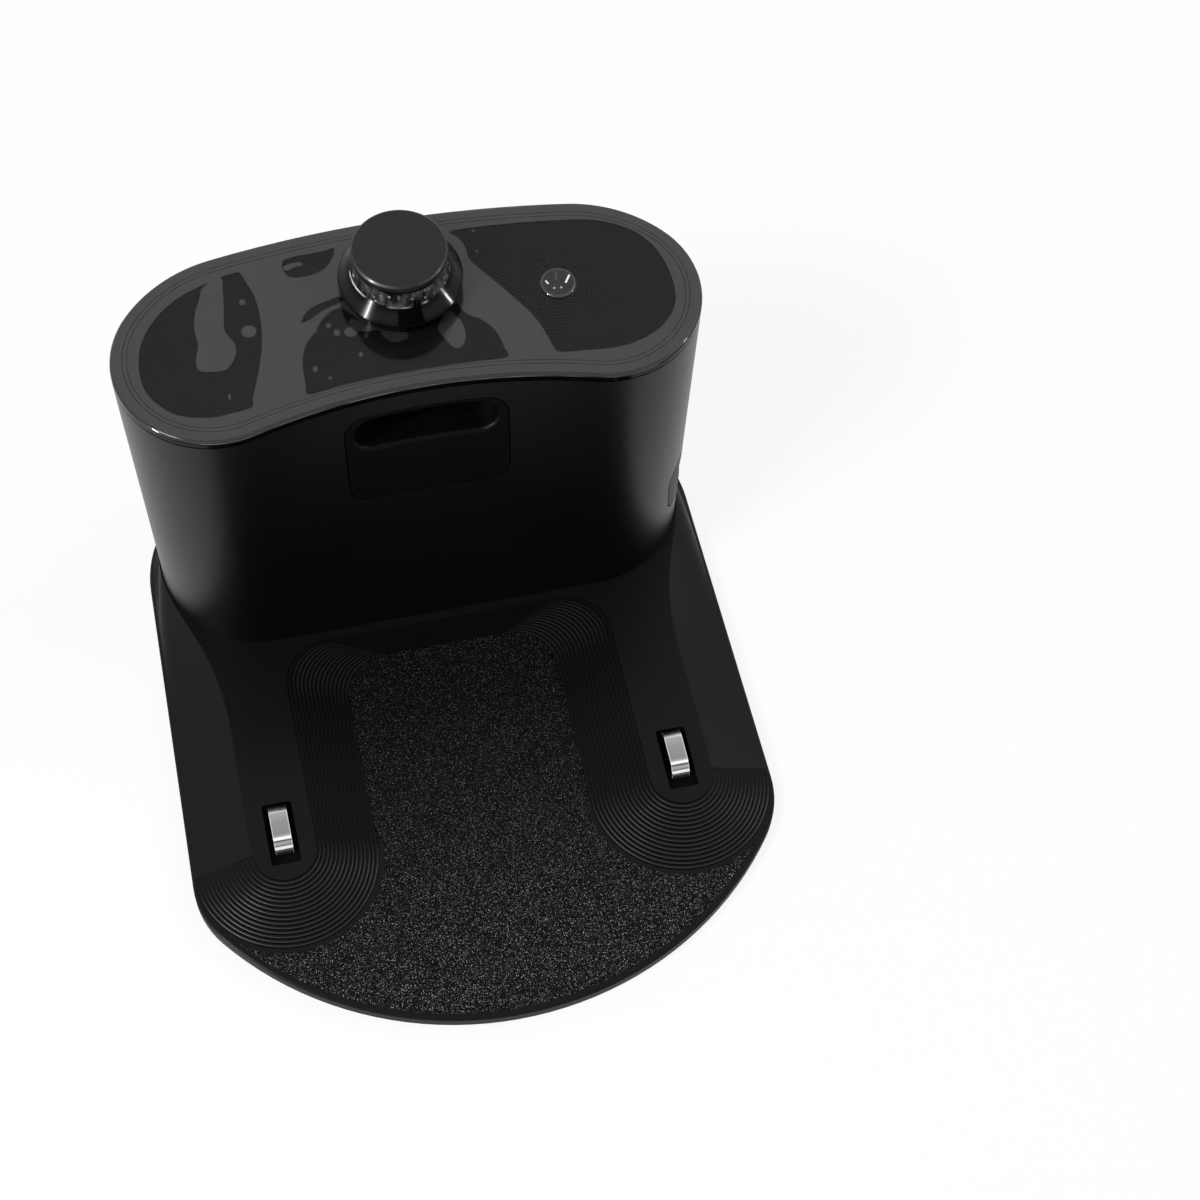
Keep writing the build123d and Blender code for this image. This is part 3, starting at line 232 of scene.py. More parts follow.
# Specks of the grain carry painted glints, brighter towards the front.
front_glint_gain = 0.38 + 0.75 * deck_finish.ease(to_front, *front_glint_run)
coarse = specks(deck_finish, *grain_coarse)
fine = specks(deck_finish, *grain_fine)
front_big_glints = specks(deck_finish, *grain_large) * deck_finish.ease(to_front, *big_glint_run)
spark = ((coarse + 0.7 * fine) * front_glint_gain + 1.7 * front_big_glints) * grained

# The outer lip of each terrace is a little rounded and carries a painted highlight, strongest round the
# nose and the pocket's corner where the light falls; the groove inside each lip is painted shade, with a
# weaker coat.
# Rings are counted from the leg's flat top: round the nose, along the leg, round the pocket's corner.
ahead = x.math("MINIMUM", y - nose_y, 0.0)
to_spine = ((across - nose_x) ** 2 + ahead**2) ** 0.5
leg_ring = (to_spine - leg_flat_half_width) * (1 / terrace_tread)
step_x, step_y, corner = terrace_tread / MM, pocket_back_step / MM, pocket_corner / MM
step_square = step_x**2 + step_y**2
aside = (across - pocket_half_width + pocket_corner) * (1 / MM)
behind = (y - pocket_back + pocket_corner) * (1 / MM)
slant = aside * step_x + behind * step_y
under = slant**2 - (aside**2 + behind**2 - corner**2) * step_square
climb = (slant - x.math("MAXIMUM", under, 0.0) ** 0.5) * (1 / step_square)
cornered = (behind > (terrace_count - leg_ring) * step_y) * (y > nose_y)
ring = leg_ring + cornered * (terrace_count - climb - leg_ring)
across_back = cornered * (aside < climb * step_x)
terraced = (ring > 0) * (z > apron_top + apron_slack) * (1 - outside) * (1 - across_back)
light_from = (nose_light_outer - nose_light_inner) * (across > nose_x) + nose_light_inner
lit_nose = deck_finish.ease(nose_y - y - light_from, 0.0, nose_light_run)
lit_corner = deck_finish.ease(y, *corner_light) * deck_finish.ease(ring, *corner_light_rings)
# Painted highlight and shade on the rings, strongest where the light falls round the nose and the pocket's
# corner.
ring_light = terraced * (ring_light_all + ring_light_nose * lit_nose + ring_light_corner * lit_corner)
phase = x.math("FRACT", ring + 0.04, 0.0)
lip = deck_finish.ease(phase, 0.50, 0.95) * ring_light
groove = (1 - deck_finish.ease(phase, 0.06, 0.45)) * ring_light

smudge = deck_finish.noise(34.0, 3.0)
matt = deck_finish.noise(7500.0, 1.0)
plain = deck_finish.mix(grained, grey(deck_black), grey(grain_black))
# Painted highlight on the terrace lips, then the painted glints of the grain.
wear_and_lip_highlight = deck_finish.mix(lip, plain, grey(lip_shine))
deck_finish.surface("Base Color", deck_finish.mix(spark, wear_and_lip_highlight, grey(grain_glint)))
deck_finish.surface("Roughness", 0.42 + 0.12 * smudge - 0.22 * lip)
deck_finish.surface("Metallic", lip)
sheen = 0.17 + 0.05 * smudge - 0.13 * grained + 0.4 * spark
shaded = terraced * (across < nose_x) * (1 - lit_nose) * (1 - lit_corner)
deck_finish.surface("Coat Weight", sheen - 0.17 * groove - 0.08 * shaded)
relief = grained * deck_finish.cells(2300.0) + (1 - grained) * 0.04 * matt - 0.9 * lip
deck_finish.bump(relief, 0.24 * MM, 0.8)
dress(deck_finish, "base_deck")

# Bottom cover: the flat plate screwed up into the deck, and the rubber pads glued into it.
# The plate is the same black plastic with a plain matt underside. The pads are soft black rubber.
cover_finish = Finish("cover_moulding", specular_ior_level=0.12)
cover_grain = cover_finish.noise(2600.0, 3.0)
cover_finish.surface(
    "Base Color", cover_finish.mix(cover_finish.noise(60.0), grey(0.004), grey(0.008))
)
cover_finish.surface("Roughness", 0.50 + 0.15 * cover_grain)
cover_finish.bump(cover_grain, 0.05 * MM, 0.5)
dress(cover_finish, "bottom_cover")

rubber_finish = Finish("foot_rubber", specular_ior_level=0.25)
rubber_grain = rubber_finish.noise(1800.0, 4.0)
rubber_finish.surface("Base Color", rubber_finish.mix(rubber_grain, grey(0.014), grey(0.028)))
rubber_finish.surface("Roughness", 0.72 + 0.15 * rubber_grain)
rubber_finish.bump(rubber_grain, 0.08 * MM, 0.6)
dress(rubber_finish, "foot_front_left", "foot_front_right", "foot_back_left", "foot_back_right")

# Charging contacts: strips of nickel-plated spring brass bent over black carriers.
# Each one stands out of a slot in its leg and sinks into it when the robot drives on.
contact_y = -32.6 * MM
strip_half_length = 7.2 * MM
strip_edge = 2.25 * MM
strip_side = 2.6 * MM
strip_leg = (0.985, 1.0)
# Greys along the strip are painted light: bright bands where the bends catch the light and dark lines
# between them.
bend_light_greys = [
    (0.0, 0.05), (0.07, 0.12), (0.14, 0.62), (0.22, 0.80), (0.26, 0.40), (0.46, 0.30), (0.72, 0.27),
    (0.77, 0.42), (0.80, 0.98), (0.84, 0.95), (0.855, 0.07), (0.87, 0.40), (0.91, 0.45), (0.925, 0.06),
    (0.945, 0.95), (0.985, 0.98), (1.0, 0.09),
]

strip_finish = Finish("nickel_strip")
x, y, z = strip_finish.axes()
along = (contact_y - y) * (0.5 / strip_half_length) + 0.5
aside = abs(abs(x) - nose_x)
drawn = strip_finish.noise(900.0, 3.0, (1.0, 0.06, 0.06))
worn = strip_finish.noise(210.0, 3.0)
bend_light = strip_finish.node("ShaderNodeValToRGB", {"stops": bend_light_greys}, {0: along})
# Painted highlight along the strip's long edges.
edge_highlight = strip_finish.ease(aside, strip_edge, strip_side)
strip_finish.surface("Base Color", strip_finish.mix(edge_highlight * 0.75, bend_light, grey(0.92)))
strip_finish.surface("Metallic", 1 - 0.85 * strip_finish.ease(along, *strip_leg))
strip_finish.surface("Roughness", 0.16 + 0.12 * worn + 0.05 * drawn)
strip_finish.bump(drawn, 0.012 * MM, 0.5)
dress(strip_finish, "contact_strip_left", "contact_strip_right")

nickel_finish = Finish("nickel_plate", metallic=1.0)
wear_and_lip_highlight = nickel_finish.noise(210.0, 3.0)
nickel_finish.surface("Base Color", nickel_finish.mix(wear_and_lip_highlight, grey(0.80, 0.015), grey(0.55, 0.03)))
nickel_finish.surface("Roughness", 0.17 + 0.16 * wear_and_lip_highlight)
dress(nickel_finish, "spring_terminal_left", "spring_terminal_right", "inlet_pins")

inner_finish = Finish("inner_moulding", specular_ior_level=0.05)
inner_grain = inner_finish.noise(3200.0, 2.0)
inner_finish.surface("Base Color", inner_finish.mix(inner_grain, grey(0.0006), grey(0.0012)))
inner_finish.surface("Roughness", 0.55 + 0.2 * inner_grain)
inner_finish.bump(inner_grain, 0.03 * MM, 0.4)
dress(inner_finish, "contact_carrier_left", "contact_carrier_right")


# Contact springs: coils of round steel wire, wound on a mandrel, that push the strips up.
# Each sits over a post of the bottom cover; it is built once, at the height of its part, though the real
# one shortens as its contact goes down.
def new_tree(name, sizes):
    """A Geometry Nodes tree with named inputs for its sizes, and its adder of nodes."""
    tree = bpy.data.node_groups.new(name, "GeometryNodeTree")
    for label, kind in sizes.items():
        tree.interface.new_socket(label, in_out="INPUT", socket_type=kind)
    tree.interface.new_socket("Geometry", in_out="OUTPUT", socket_type="NodeSocketGeometry")
    entry = tree.nodes.new("NodeGroupInput")

    def step(kind, settings=None, inputs=None):
        made = tree.nodes.new(kind)
        for key, value in (settings or {}).items():
            setattr(made, key, value)
        for key, value in (inputs or {}).items():
            if isinstance(value, bpy.types.NodeSocket):
                tree.links.new(value, made.inputs[key])
            else:
                made.inputs[key].default_value = value
        return made

    return tree, entry.outputs, step


def close_tree(tree, step, shape, finish):
    """Ends a tree: instances are made real and get their finish."""
    real = step("GeometryNodeRealizeInstances", {}, {"Geometry": shape})
    inputs = {"Geometry": real.outputs[0], "Material": finish.material}
    painted = step("GeometryNodeSetMaterial", {}, inputs)
    step("NodeGroupOutput", {}, {"Geometry": painted.outputs[0]})


def grow(tree, name, values):
    """Runs a tree with those values and keeps the result as a plain mesh object."""
    seed = bpy.data.objects.new(name + "_seed", bpy.data.meshes.new(name + "_seed"))
    bpy.context.scene.collection.objects.link(seed)
    modifier = seed.modifiers.new("grow", "NODES")
    modifier.node_group = tree
    for item in tree.interface.items_tree:
        if item.in_out == "INPUT":
            modifier[item.identifier] = values[item.name]
    graph = bpy.context.evaluated_depsgraph_get()
    mesh = bpy.data.meshes.new_from_object(seed.evaluated_get(graph))
    mesh.name = name
    bpy.data.objects.remove(seed)
    piece = bpy.data.objects.new(name, mesh)
    bpy.context.scene.collection.objects.link(piece)
    return piece


steel_finish = Finish("zinc_steel", metallic=1.0)
steel_drawn = steel_finish.noise(1400.0, 2.0)
steel_finish.surface("Base Color", steel_finish.mix(steel_drawn, grey(0.62), grey(0.45)))
steel_finish.surface("Roughness", 0.22 + 0.15 * steel_drawn)

coil_tree, size, step = new_tree(
    "coil_spring",
    {
        "Turns": "NodeSocketFloat",
        "Coil radius": "NodeSocketFloat",
        "Coil height": "NodeSocketFloat",
        "Wire radius": "NodeSocketFloat",
        "Foot": "NodeSocketVector",
    },
)
helix = step(
    "GeometryNodeCurveSpiral",
    {},
    {
        "Resolution": 28,
        "Rotations": size["Turns"],
        "Start Radius": size["Coil radius"],
        "End Radius": size["Coil radius"],
        "Height": size["Coil height"],
    },
)
wire = step("GeometryNodeCurvePrimitiveCircle", {}, {"Resolution": 10, "Radius": size["Wire radius"]})
wound = step(
    "GeometryNodeCurveToMesh",
    {},
    {"Curve": helix.outputs[0], "Profile Curve": wire.outputs[0], "Fill Caps": True},
)
placed = step("GeometryNodeTransform", {}, {"Geometry": wound.outputs[0], "Translation": size["Foot"]})
close_tree(coil_tree, step, placed.outputs[0], steel_finish)

wire_radius = 0.25 * MM
for side in ("left", "right"):
    lowest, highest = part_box("contact_spring_" + side)
    middle = (lowest + highest) / 2
    height = highest.z - lowest.z
    values = {
        "Turns": 5.5,
        "Coil radius": 3.0 * MM,
        "Coil height": height - 2 * wire_radius,
        "Wire radius": wire_radius,
        "Foot": (middle.x, middle.y, lowest.z + wire_radius),
    }
    coil = grow(coil_tree, "coil_" + side, values)
    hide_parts("contact_spring_" + side)
    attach(coil, "station")
    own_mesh(coil)

# Leads and cables: soft insulated wire from the contacts to the main board, and up the tower
# from the main board to the emitter board and the lid board.
lead_finish = Finish("lead_sleeve", specular_ior_level=0.3)
lead_grain = lead_finish.noise(700.0, 2.0)
lead_finish.surface(
    "Base Color", lead_finish.mix(lead_grain, (0.30, 0.012, 0.010, 1.0), (0.22, 0.008, 0.007, 1.0))
)
lead_finish.surface("Roughness", 0.42 + 0.15 * lead_grain)
dress(lead_finish, "contact_lead_left", "contact_lead_right", "emitter_cable", "lid_cable")

# Circuit boards: glass-fibre laminate with a green solder mask, through which the tracks show
# as paler lanes; the tinned pads are not drawn.
board_finish = Finish("solder_mask", specular_ior_level=0.45)
lanes = board_finish.node(
    "ShaderNodeTexBrick",
    {"offset": 0.5},
    {
        "Vector": board_finish.place,
        "Scale": 190.0,
        "Mortar Size": 0.05,
        "Color1": grey(0.0),
        "Color2": grey(0.0),
        "Mortar": grey(1.0),
    },
)
board_finish.surface(
    "Base Color", board_finish.mix(lanes, (0.012, 0.085, 0.035, 1.0), (0.03, 0.17, 0.06, 1.0))
)
board_finish.surface("Roughness", 0.28 + 0.15 * board_finish.noise(500.0))
dress(board_finish, "main_board", "lid_board", "emitter_board")

# Pieces on the main board: fuse, choke, rectifier, capacitors, transformer, heat sink, chip.
# Each keeps the finish of the real piece, as far as it can be seen with the tower off.
fuse_x = 36.0 * MM
fuse_tube_half = 5.2 * MM
fuse_finish = Finish("fuse_tube")
x, y, z = fuse_finish.axes()
end_cap = fuse_finish.ease(abs(x - fuse_x), fuse_tube_half, fuse_tube_half + 0.2 * MM)
fuse_finish.surface("Base Color", fuse_finish.mix(end_cap, grey(0.72), grey(0.70, 0.02)))
fuse_finish.surface("Metallic", end_cap)
fuse_finish.surface("Roughness", 0.08 + 0.15 * end_cap)
dress(fuse_finish, "fuse")

copper_finish = Finish("copper_winding", specular_ior_level=0.5)
strands = copper_finish.node(
    "ShaderNodeTexWave",
    {"wave_type": "RINGS", "rings_direction": "Y"},
    {"Vector": copper_finish.place, "Scale": 420.0, "Distortion": 1.5},
)
copper_finish.surface(
    "Base Color", copper_finish.mix(strands, (0.20, 0.055, 0.018, 1.0), (0.48, 0.17, 0.06, 1.0))
)
copper_finish.surface("Roughness", 0.30 + 0.12 * strands)
copper_finish.bump(strands, 0.2 * MM, 0.7)
dress(copper_finish, "filter_choke")

epoxy_finish = Finish("epoxy_body", specular_ior_level=0.3)
epoxy_grain = epoxy_finish.noise(2200.0, 3.0)
epoxy_finish.surface("Base Color", epoxy_finish.mix(epoxy_grain, grey(0.008), grey(0.018)))
epoxy_finish.surface("Roughness", 0.45 + 0.2 * epoxy_grain)
epoxy_finish.bump(epoxy_grain, 0.03 * MM, 0.5)
dress(epoxy_finish, "bridge_rectifier", "switch_transistor", "control_chip")

sleeve_finish = Finish("can_sleeve", specular_ior_level=0.5)
sleeve_stripe = sleeve_finish.ease(sleeve_finish.noise(150.0, 0.0, (1.0, 1.0, 0.02)), 0.58, 0.6)
sleeve_finish.surface(
    "Base Color",
    sleeve_finish.mix(sleeve_stripe, (0.006, 0.009, 0.035, 1.0), (0.30, 0.33, 0.38, 1.0)),
)
sleeve_finish.surface("Roughness", 0.22 + 0.1 * sleeve_finish.noise(300.0))
dress(sleeve_finish, "bulk_capacitor", "output_capacitors")

ferrite_finish = Finish("sintered_ferrite", specular_ior_level=0.3)
ferrite_grain = ferrite_finish.noise(1500.0, 4.0)
ferrite_finish.surface("Base Color", ferrite_finish.mix(ferrite_grain, grey(0.018), grey(0.045)))
ferrite_finish.surface("Roughness", 0.5 + 0.25 * ferrite_grain)
ferrite_finish.bump(ferrite_grain, 0.06 * MM, 0.6)
dress(ferrite_finish, "transformer_core")

tape_finish = Finish("winding_tape", specular_ior_level=0.45)
tape_fold = tape_finish.noise(260.0, 3.0, (1.0, 1.0, 0.1))
tape_finish.surface(
    "Base Color", tape_finish.mix(tape_fold, (0.60, 0.34, 0.02, 1.0), (0.74, 0.48, 0.05, 1.0))
)
tape_finish.surface("Roughness", 0.25 + 0.2 * tape_fold)
tape_finish.bump(tape_fold, 0.1 * MM, 0.5)
dress(tape_finish, "transformer_winding")

sink_finish = Finish("extruded_aluminium", metallic=1.0)
sink_lines = sink_finish.noise(1600.0, 2.0, (1.0, 1.0, 0.03))
sink_finish.surface("Base Color", sink_finish.mix(sink_lines, grey(0.60), grey(0.72)))
sink_finish.surface("Roughness", 0.32 + 0.15 * sink_lines)
sink_finish.bump(sink_lines, 0.03 * MM, 0.5)
dress(sink_finish, "heat_sink")

# Mains inlet: a black block set flush in the tower's right end, with two bright pins in
# a two-lobed well at the bottom of a pocket. The block is moulded in a stiff matt plastic.
inlet_finish = Finish("inlet_moulding", specular_ior_level=0.25)
inlet_grain = inlet_finish.noise(3000.0, 3.0)
inlet_finish.surface("Base Color", inlet_finish.mix(inlet_grain, grey(0.006), grey(0.012)))
inlet_finish.surface("Roughness", 0.45 + 0.2 * inlet_grain)
inlet_finish.bump(inlet_grain, 0.03 * MM, 0.5)
dress(inlet_finish, "mains_inlet")

# Tower shell: one lofted black wall, straight at the foot and hollow in front at the top.
# It is moulded with a fine even satin that gives long soft highlights at its round ends.
tower_finish = Finish("tower_moulding", specular_ior_level=0.2)
tower_satin = tower_finish.noise(6500.0, 2.0)
tower_cloud = tower_finish.noise(22.0, 3.0)
tower_finish.surface("Base Color", tower_finish.mix(tower_cloud, grey(0.0006), grey(0.0012)))
tower_finish.surface("Roughness", 0.29 + 0.06 * tower_cloud + 0.05 * tower_satin)
tower_finish.bump(tower_satin, 0.012 * MM, 0.4)
dress(tower_finish, "tower_shell")

# Slot bezel: a separate plain plate set flush in the front wall, with a flange behind it.
# Behind its soft-lipped slot is a black sleeve that holds the two clear homing emitters.
bezel_finish = Finish("bezel_moulding", specular_ior_level=0.07)
bezel_satin = bezel_finish.noise(5200.0, 2.0)
bezel_finish.surface("Base Color", bezel_finish.mix(bezel_satin, grey(0.0008), grey(0.0014)))
bezel_finish.surface("Roughness", 0.40 + 0.08 * bezel_satin)
bezel_finish.bump(bezel_satin, 0.015 * MM, 0.4)
dress(bezel_finish, "slot_bezel")
dress(inner_finish, "emitter_holder")

lamp_finish = Finish("lamp_epoxy", transmission_weight=0.9, ior=1.5)
lamp_haze = lamp_finish.noise(420.0, 2.0)
lamp_finish.surface("Base Color", lamp_finish.mix(lamp_haze, grey(0.86), grey(0.78)))
lamp_finish.surface("Roughness", 0.05 + 0.08 * lamp_haze)
dress(lamp_finish, "homing_emitter_left", "homing_emitter_right", "beacon_emitter", "indicator_lamp")

# Lid: a polished black cover with a soft outer edge and a fine groove inside it.
# It is pushed into the tower on its skirt and held by screws from below.
lid_top = 114.2 * MM
edge_light_z = 113.55 * MM
edge_glint_z = 113.42 * MM
edge_glint_half = 0.12 * MM

lid_finish = Finish("lid_polish", specular_ior_level=0.05, coat_ior=1.5, coat_roughness=0.06)
x, y, z = lid_finish.axes()
lid_orange = lid_finish.noise(240.0, 2.0)
flat = lid_finish.ease(z, lid_top - 0.14 * MM, lid_top - 0.02 * MM)
# Painted highlight on the rounded edge, and a painted glint line low on it, broken here and there.
lit_round_edge = lid_finish.ease(z, edge_light_z - 0.1 * MM, edge_light_z + 0.1 * MM) * (1 - flat)
off_glint = abs(z - edge_glint_z)
glint = 1 - lid_finish.ease(off_glint, edge_glint_half * 0.5, edge_glint_half)
glint = glint * lid_finish.ease(lid_finish.noise(60.0, 2.0), 0.40, 0.62)
lid_black = lid_finish.mix(lid_orange, grey(0.002), grey(0.003))
lid_edge_lit = lid_finish.mix(lit_round_edge, lid_black, grey(0.040))
lid_finish.surface("Base Color", lid_finish.mix(glint, lid_edge_lit, grey(0.16)))
lid_finish.surface("Roughness", 0.12 + 0.05 * lid_orange)
lid_finish.surface("Coat Weight", 0.10 + 0.64 * flat + 0.30 * lit_round_edge + 0.7 * glint)
lid_finish.bump(lid_orange, 0.01 * MM, 0.2)
dress(lid_finish, "top_cover")

# Shipping film: a clear self-clinging sheet that is still on the lid, cut round what stands on it.
# Where it clings the lid shows through dark; elsewhere the reflection off the air under it is painted in as
# a paler grey.
lid_end_x = 53.6
lid_end_y = 61.8
lid_end_radius = 27.4
lid_join_bearing = 39.0
lid_corner_radius = 40.0
lid_hollow_radius = 174.0
lid_back_y = 97.3
film_inset = 0.7
groove_lines = [(3.4, 3.56), (4.55, 4.71)]
film_low = 114.25 * MM
film_high = 114.4 * MM
beacon_at = (0.0, 74.4)
beacon_clear = 15.2
indicator_at = (42.2, 66.7)
indicator_clear = 5.2

stuck_areas = [
    [
        (-47.6, 86.5), (-53.6, 84.6), (-58.4, 82.7), (-62.7, 80.1), (-66.5, 76.7), (-69.7, 72.6),
        (-71.9, 68.3), (-73.0, 63.8), (-73.3, 59.2), (-72.7, 54.4), (-70.4, 49.9), (-67.1, 46.2),
        (-63.6, 44.2), (-59.9, 43.0), (-55.6, 42.4), (-51.2, 42.8), (-45.9, 43.6), (-45.0, 46.8),
        (-43.4, 51.2), (-41.7, 56.2), (-40.2, 61.9), (-39.2, 68.5), (-39.1, 74.0), (-39.7, 79.6),
        (-41.1, 83.8), (-42.2, 87.1), (-44.7, 87.2),
    ],
    [
        (-30.0, 88.6), (-26.7, 89.5), (-22.1, 89.6), (-18.0, 89.9), (-15.6, 90.0), (-16.9, 86.6),
        (-19.1, 84.1), (-22.1, 82.8), (-25.6, 82.4), (-28.6, 82.7), (-30.0, 84.1), (-30.5, 86.2),
    ],
    [
        (-28.4, 67.6), (-27.3, 69.9), (-24.9, 72.0), (-21.6, 73.0), (-17.2, 74.1), (-16.2, 72.6),
        (-19.6, 71.2), (-22.6, 70.2), (-25.5, 68.5),
    ],
    [
        (-30.7, 44.7), (-30.7, 48.6), (-30.6, 53.3), (-29.8, 57.2), (-28.3, 60.6), (-26.1, 63.2),
        (-23.9, 66.2), (-21.1, 69.1), (-17.5, 70.3), (-14.6, 67.6), (-11.5, 63.8), (-8.0, 61.0),
        (-3.3, 59.6), (3.2, 59.6), (7.6, 61.4), (11.0, 64.2), (13.6, 66.0), (14.5, 63.9),
        (16.1, 61.5), (18.6, 59.8), (21.2, 56.8), (22.8, 53.4), (23.5, 49.2), (23.5, 45.9),
        (14.1, 46.3), (2.9, 46.6), (-8.4, 46.5), (-19.7, 45.8), (-26.0, 45.0),
    ],
    [
        (16.6, 89.5), (23.5, 89.7), (34.4, 89.0), (45.9, 87.7), (54.9, 86.2), (61.9, 83.3),
        (67.4, 79.0), (71.2, 72.9), (73.0, 65.7), (73.2, 58.6), (72.1, 54.0), (69.4, 49.9),
        (64.5, 46.1), (58.3, 43.9), (52.2, 43.3), (44.3, 44.0), (37.9, 44.8), (36.5, 46.9),
        (35.5, 51.6), (33.7, 57.0), (31.2, 61.7), (28.5, 66.1), (25.4, 70.9), (22.2, 75.8),
        (20.0, 79.7), (19.8, 83.3), (18.6, 86.7),
    ],
]
air_pockets = [
    [
        (-47.5, 86.3), (-47.7, 81.2), (-48.2, 76.5), (-48.9, 71.8), (-49.0, 68.4), (-47.7, 65.9),
        (-47.0, 63.0), (-47.8, 60.1), (-49.3, 57.7), (-51.2, 56.5), (-54.7, 56.8), (-57.5, 57.6),
        (-58.2, 60.1), (-57.5, 63.1), (-56.7, 66.3), (-57.0, 70.4), (-56.1, 76.0), (-54.1, 80.9),
        (-52.4, 84.5),
    ],
    [
        (-29.9, 86.9), (-27.0, 87.5), (-25.1, 87.1), (-25.3, 86.1), (-27.5, 85.9), (-29.1, 85.2),
        (-30.1, 85.7),
    ],
    [(-14.6, 66.2), (-11.2, 63.2), (-9.1, 61.7), (-11.7, 61.4), (-14.3, 62.6), (-16.0, 65.2)],
    [(-8.0, 60.6), (-2.6, 59.6), (-0.9, 57.9), (-2.5, 56.8), (-4.9, 56.6), (-6.8, 57.7)],
    [
        (7.2, 58.2), (9.2, 62.0), (11.6, 63.6), (12.9, 61.6), (14.0, 59.0), (14.2, 55.8),
        (13.4, 52.9), (11.5, 51.3), (9.7, 52.4), (8.5, 55.2),
    ],
]
bubbles = [
    ((-43.0, 77.3), 0.9, 1.0),
    ((-42.8, 67.6), 2.1, 2.0),
    ((-15.9, 62.1), 1.9, 1.6),
    ((-19.7, 62.6), 0.9, 1.1),
    ((-21.5, 65.3), 0.7, 0.7),
    ((-14.7, 54.4), 0.6, 0.8),
    ((-27.4, 52.2), 0.7, 0.9),
    ((-24.0, 48.6), 0.5, 0.5),
    ((-25.1, 64.2), 0.4, 0.5),
    ((23.0, 88.5), 0.4, 0.5),
    ((22.6, 81.6), 0.4, 0.5),
    ((-51.1, 48.0), 0.4, 1.0),
]


def arc(centre, radius, start, turn, steps):
    """Points of an arc, without its last one."""
    angles = [math.radians(start + turn * i / steps) for i in range(steps)]
    return [(centre[0] + radius * math.cos(a), centre[1] + radius * math.sin(a)) for a in angles]


def lid_outline(inset):
    """Points round the lid: hollow front, right end and back corner, bowed back, left corner and end."""
    hollow_y = lid_end_y - math.sqrt((lid_hollow_radius + lid_end_radius) ** 2 - lid_end_x**2)
    front = math.degrees(math.atan2(lid_end_y - hollow_y, lid_end_x))
    step_in = lid_end_radius - lid_corner_radius
    corner_x = lid_end_x + step_in * math.cos(math.radians(lid_join_bearing))
    corner_y = lid_end_y + step_in * math.sin(math.radians(lid_join_bearing))
    reach = lid_back_y - corner_y - lid_corner_radius
    drop = (corner_x**2 - reach**2) / (2 * reach)
    back = math.degrees(math.atan2(drop, corner_x))
    end_turn = 180 + lid_join_bearing - front
    corner_turn = back - lid_join_bearing
    back_radius = drop + lid_back_y - corner_y - inset
    points = arc((0, hollow_y), lid_hollow_radius + inset, 180 - front, 2 * front - 180, 60)
    points += arc((lid_end_x, lid_end_y), lid_end_radius - inset, front - 180, end_turn, 70)
    points += arc((corner_x, corner_y), lid_corner_radius - inset, lid_join_bearing, corner_turn, 24)
    points += arc((0, corner_y - drop), back_radius, back, 180 - 2 * back, 60)
    points += arc((-corner_x, corner_y), lid_corner_radius - inset, 180 - back, corner_turn, 24)
    points += arc((-lid_end_x, lid_end_y), lid_end_radius - inset, 180 - lid_join_bearing, end_turn, 70)
    return points


def flowing(points, steps=6):
    """Closed smooth line through given points."""
    line = []
    count = len(points)
    for i in range(count):
        a, b, c, d = (Vector(points[(i + k) % count]) for k in (-1, 0, 1, 2))
        for j in range(steps):
            t = j / steps
            smooth = b * 2 + (c - a) * t + (a * 2 - b * 5 + c * 4 - d) * t**2
            line.append(tuple((smooth + (b * 3 - a - c * 3 + d) * t**3) / 2))
    return line


def inside(point, line):
    """Whether a point is inside a closed line."""
    found = False
    for (x0, y0), (x1, y1) in zip(line, line[1:] + line[:1]):
        if (y0 > point.y) != (y1 > point.y):
            found ^= point.x < x0 + (x1 - x0) * (point.y - y0) / (y1 - y0)
    return found


def ellipse(centre, width, depth):
    turns = [2 * math.pi * i / 16 for i in range(16)]
    return [(centre[0] + width * math.cos(a), centre[1] + depth * math.sin(a)) for a in turns]


film_edge = lid_outline(film_inset)
film_holes = [arc(beacon_at, beacon_clear, 0, 360, 72), arc(indicator_at, indicator_clear, 0, 360, 40)]
stuck_lines = [flowing(points) for points in stuck_areas]
air_lines = [flowing(points) for points in air_pockets]
air_lines += [ellipse(*bubble) for bubble in bubbles]
groove_edges = [[lid_outline(inset) for inset in pair] for pair in groove_lines]
rings = [film_edge] + film_holes + stuck_lines + air_lines + sum(groove_edges, [])
corners, edges = [], []
for line in rings:
    first = len(corners)
    corners += [Vector(point) for point in line]
    edges += [(first + i, first + (i + 1) % len(line)) for i in range(len(line))]
flat_corners, _, flat_faces, _, _, _ = delaunay_2d_cdt(corners, edges, [], 0, 1e-4)

film_mesh = bpy.data.meshes.new("lid_film")
film_build = bmesh.new()
film_points = [film_build.verts.new((p.x * MM, p.y * MM, film_high)) for p in flat_corners]
for face in flat_faces:
    centre = sum((flat_corners[i] for i in face), Vector((0, 0))) / len(face)
    if not inside(centre, film_edge) or any(inside(centre, hole) for hole in film_holes):
        continue
    made = film_build.faces.new([film_points[i] for i in face])
    stuck = any(inside(centre, line) for line in stuck_lines)
    stuck = stuck and not any(inside(centre, line) for line in air_lines)
    pressed = any(inside(centre, outer) and not inside(centre, inner) for outer, inner in groove_edges)
    made.material_index = int(stuck or pressed)
bmesh.ops.delete(film_build, geom=[v for v in film_build.verts if not v.link_faces], context="VERTS")
bmesh.ops.recalc_face_normals(film_build, faces=film_build.faces)
film_build.to_mesh(film_mesh)
film_build.free()

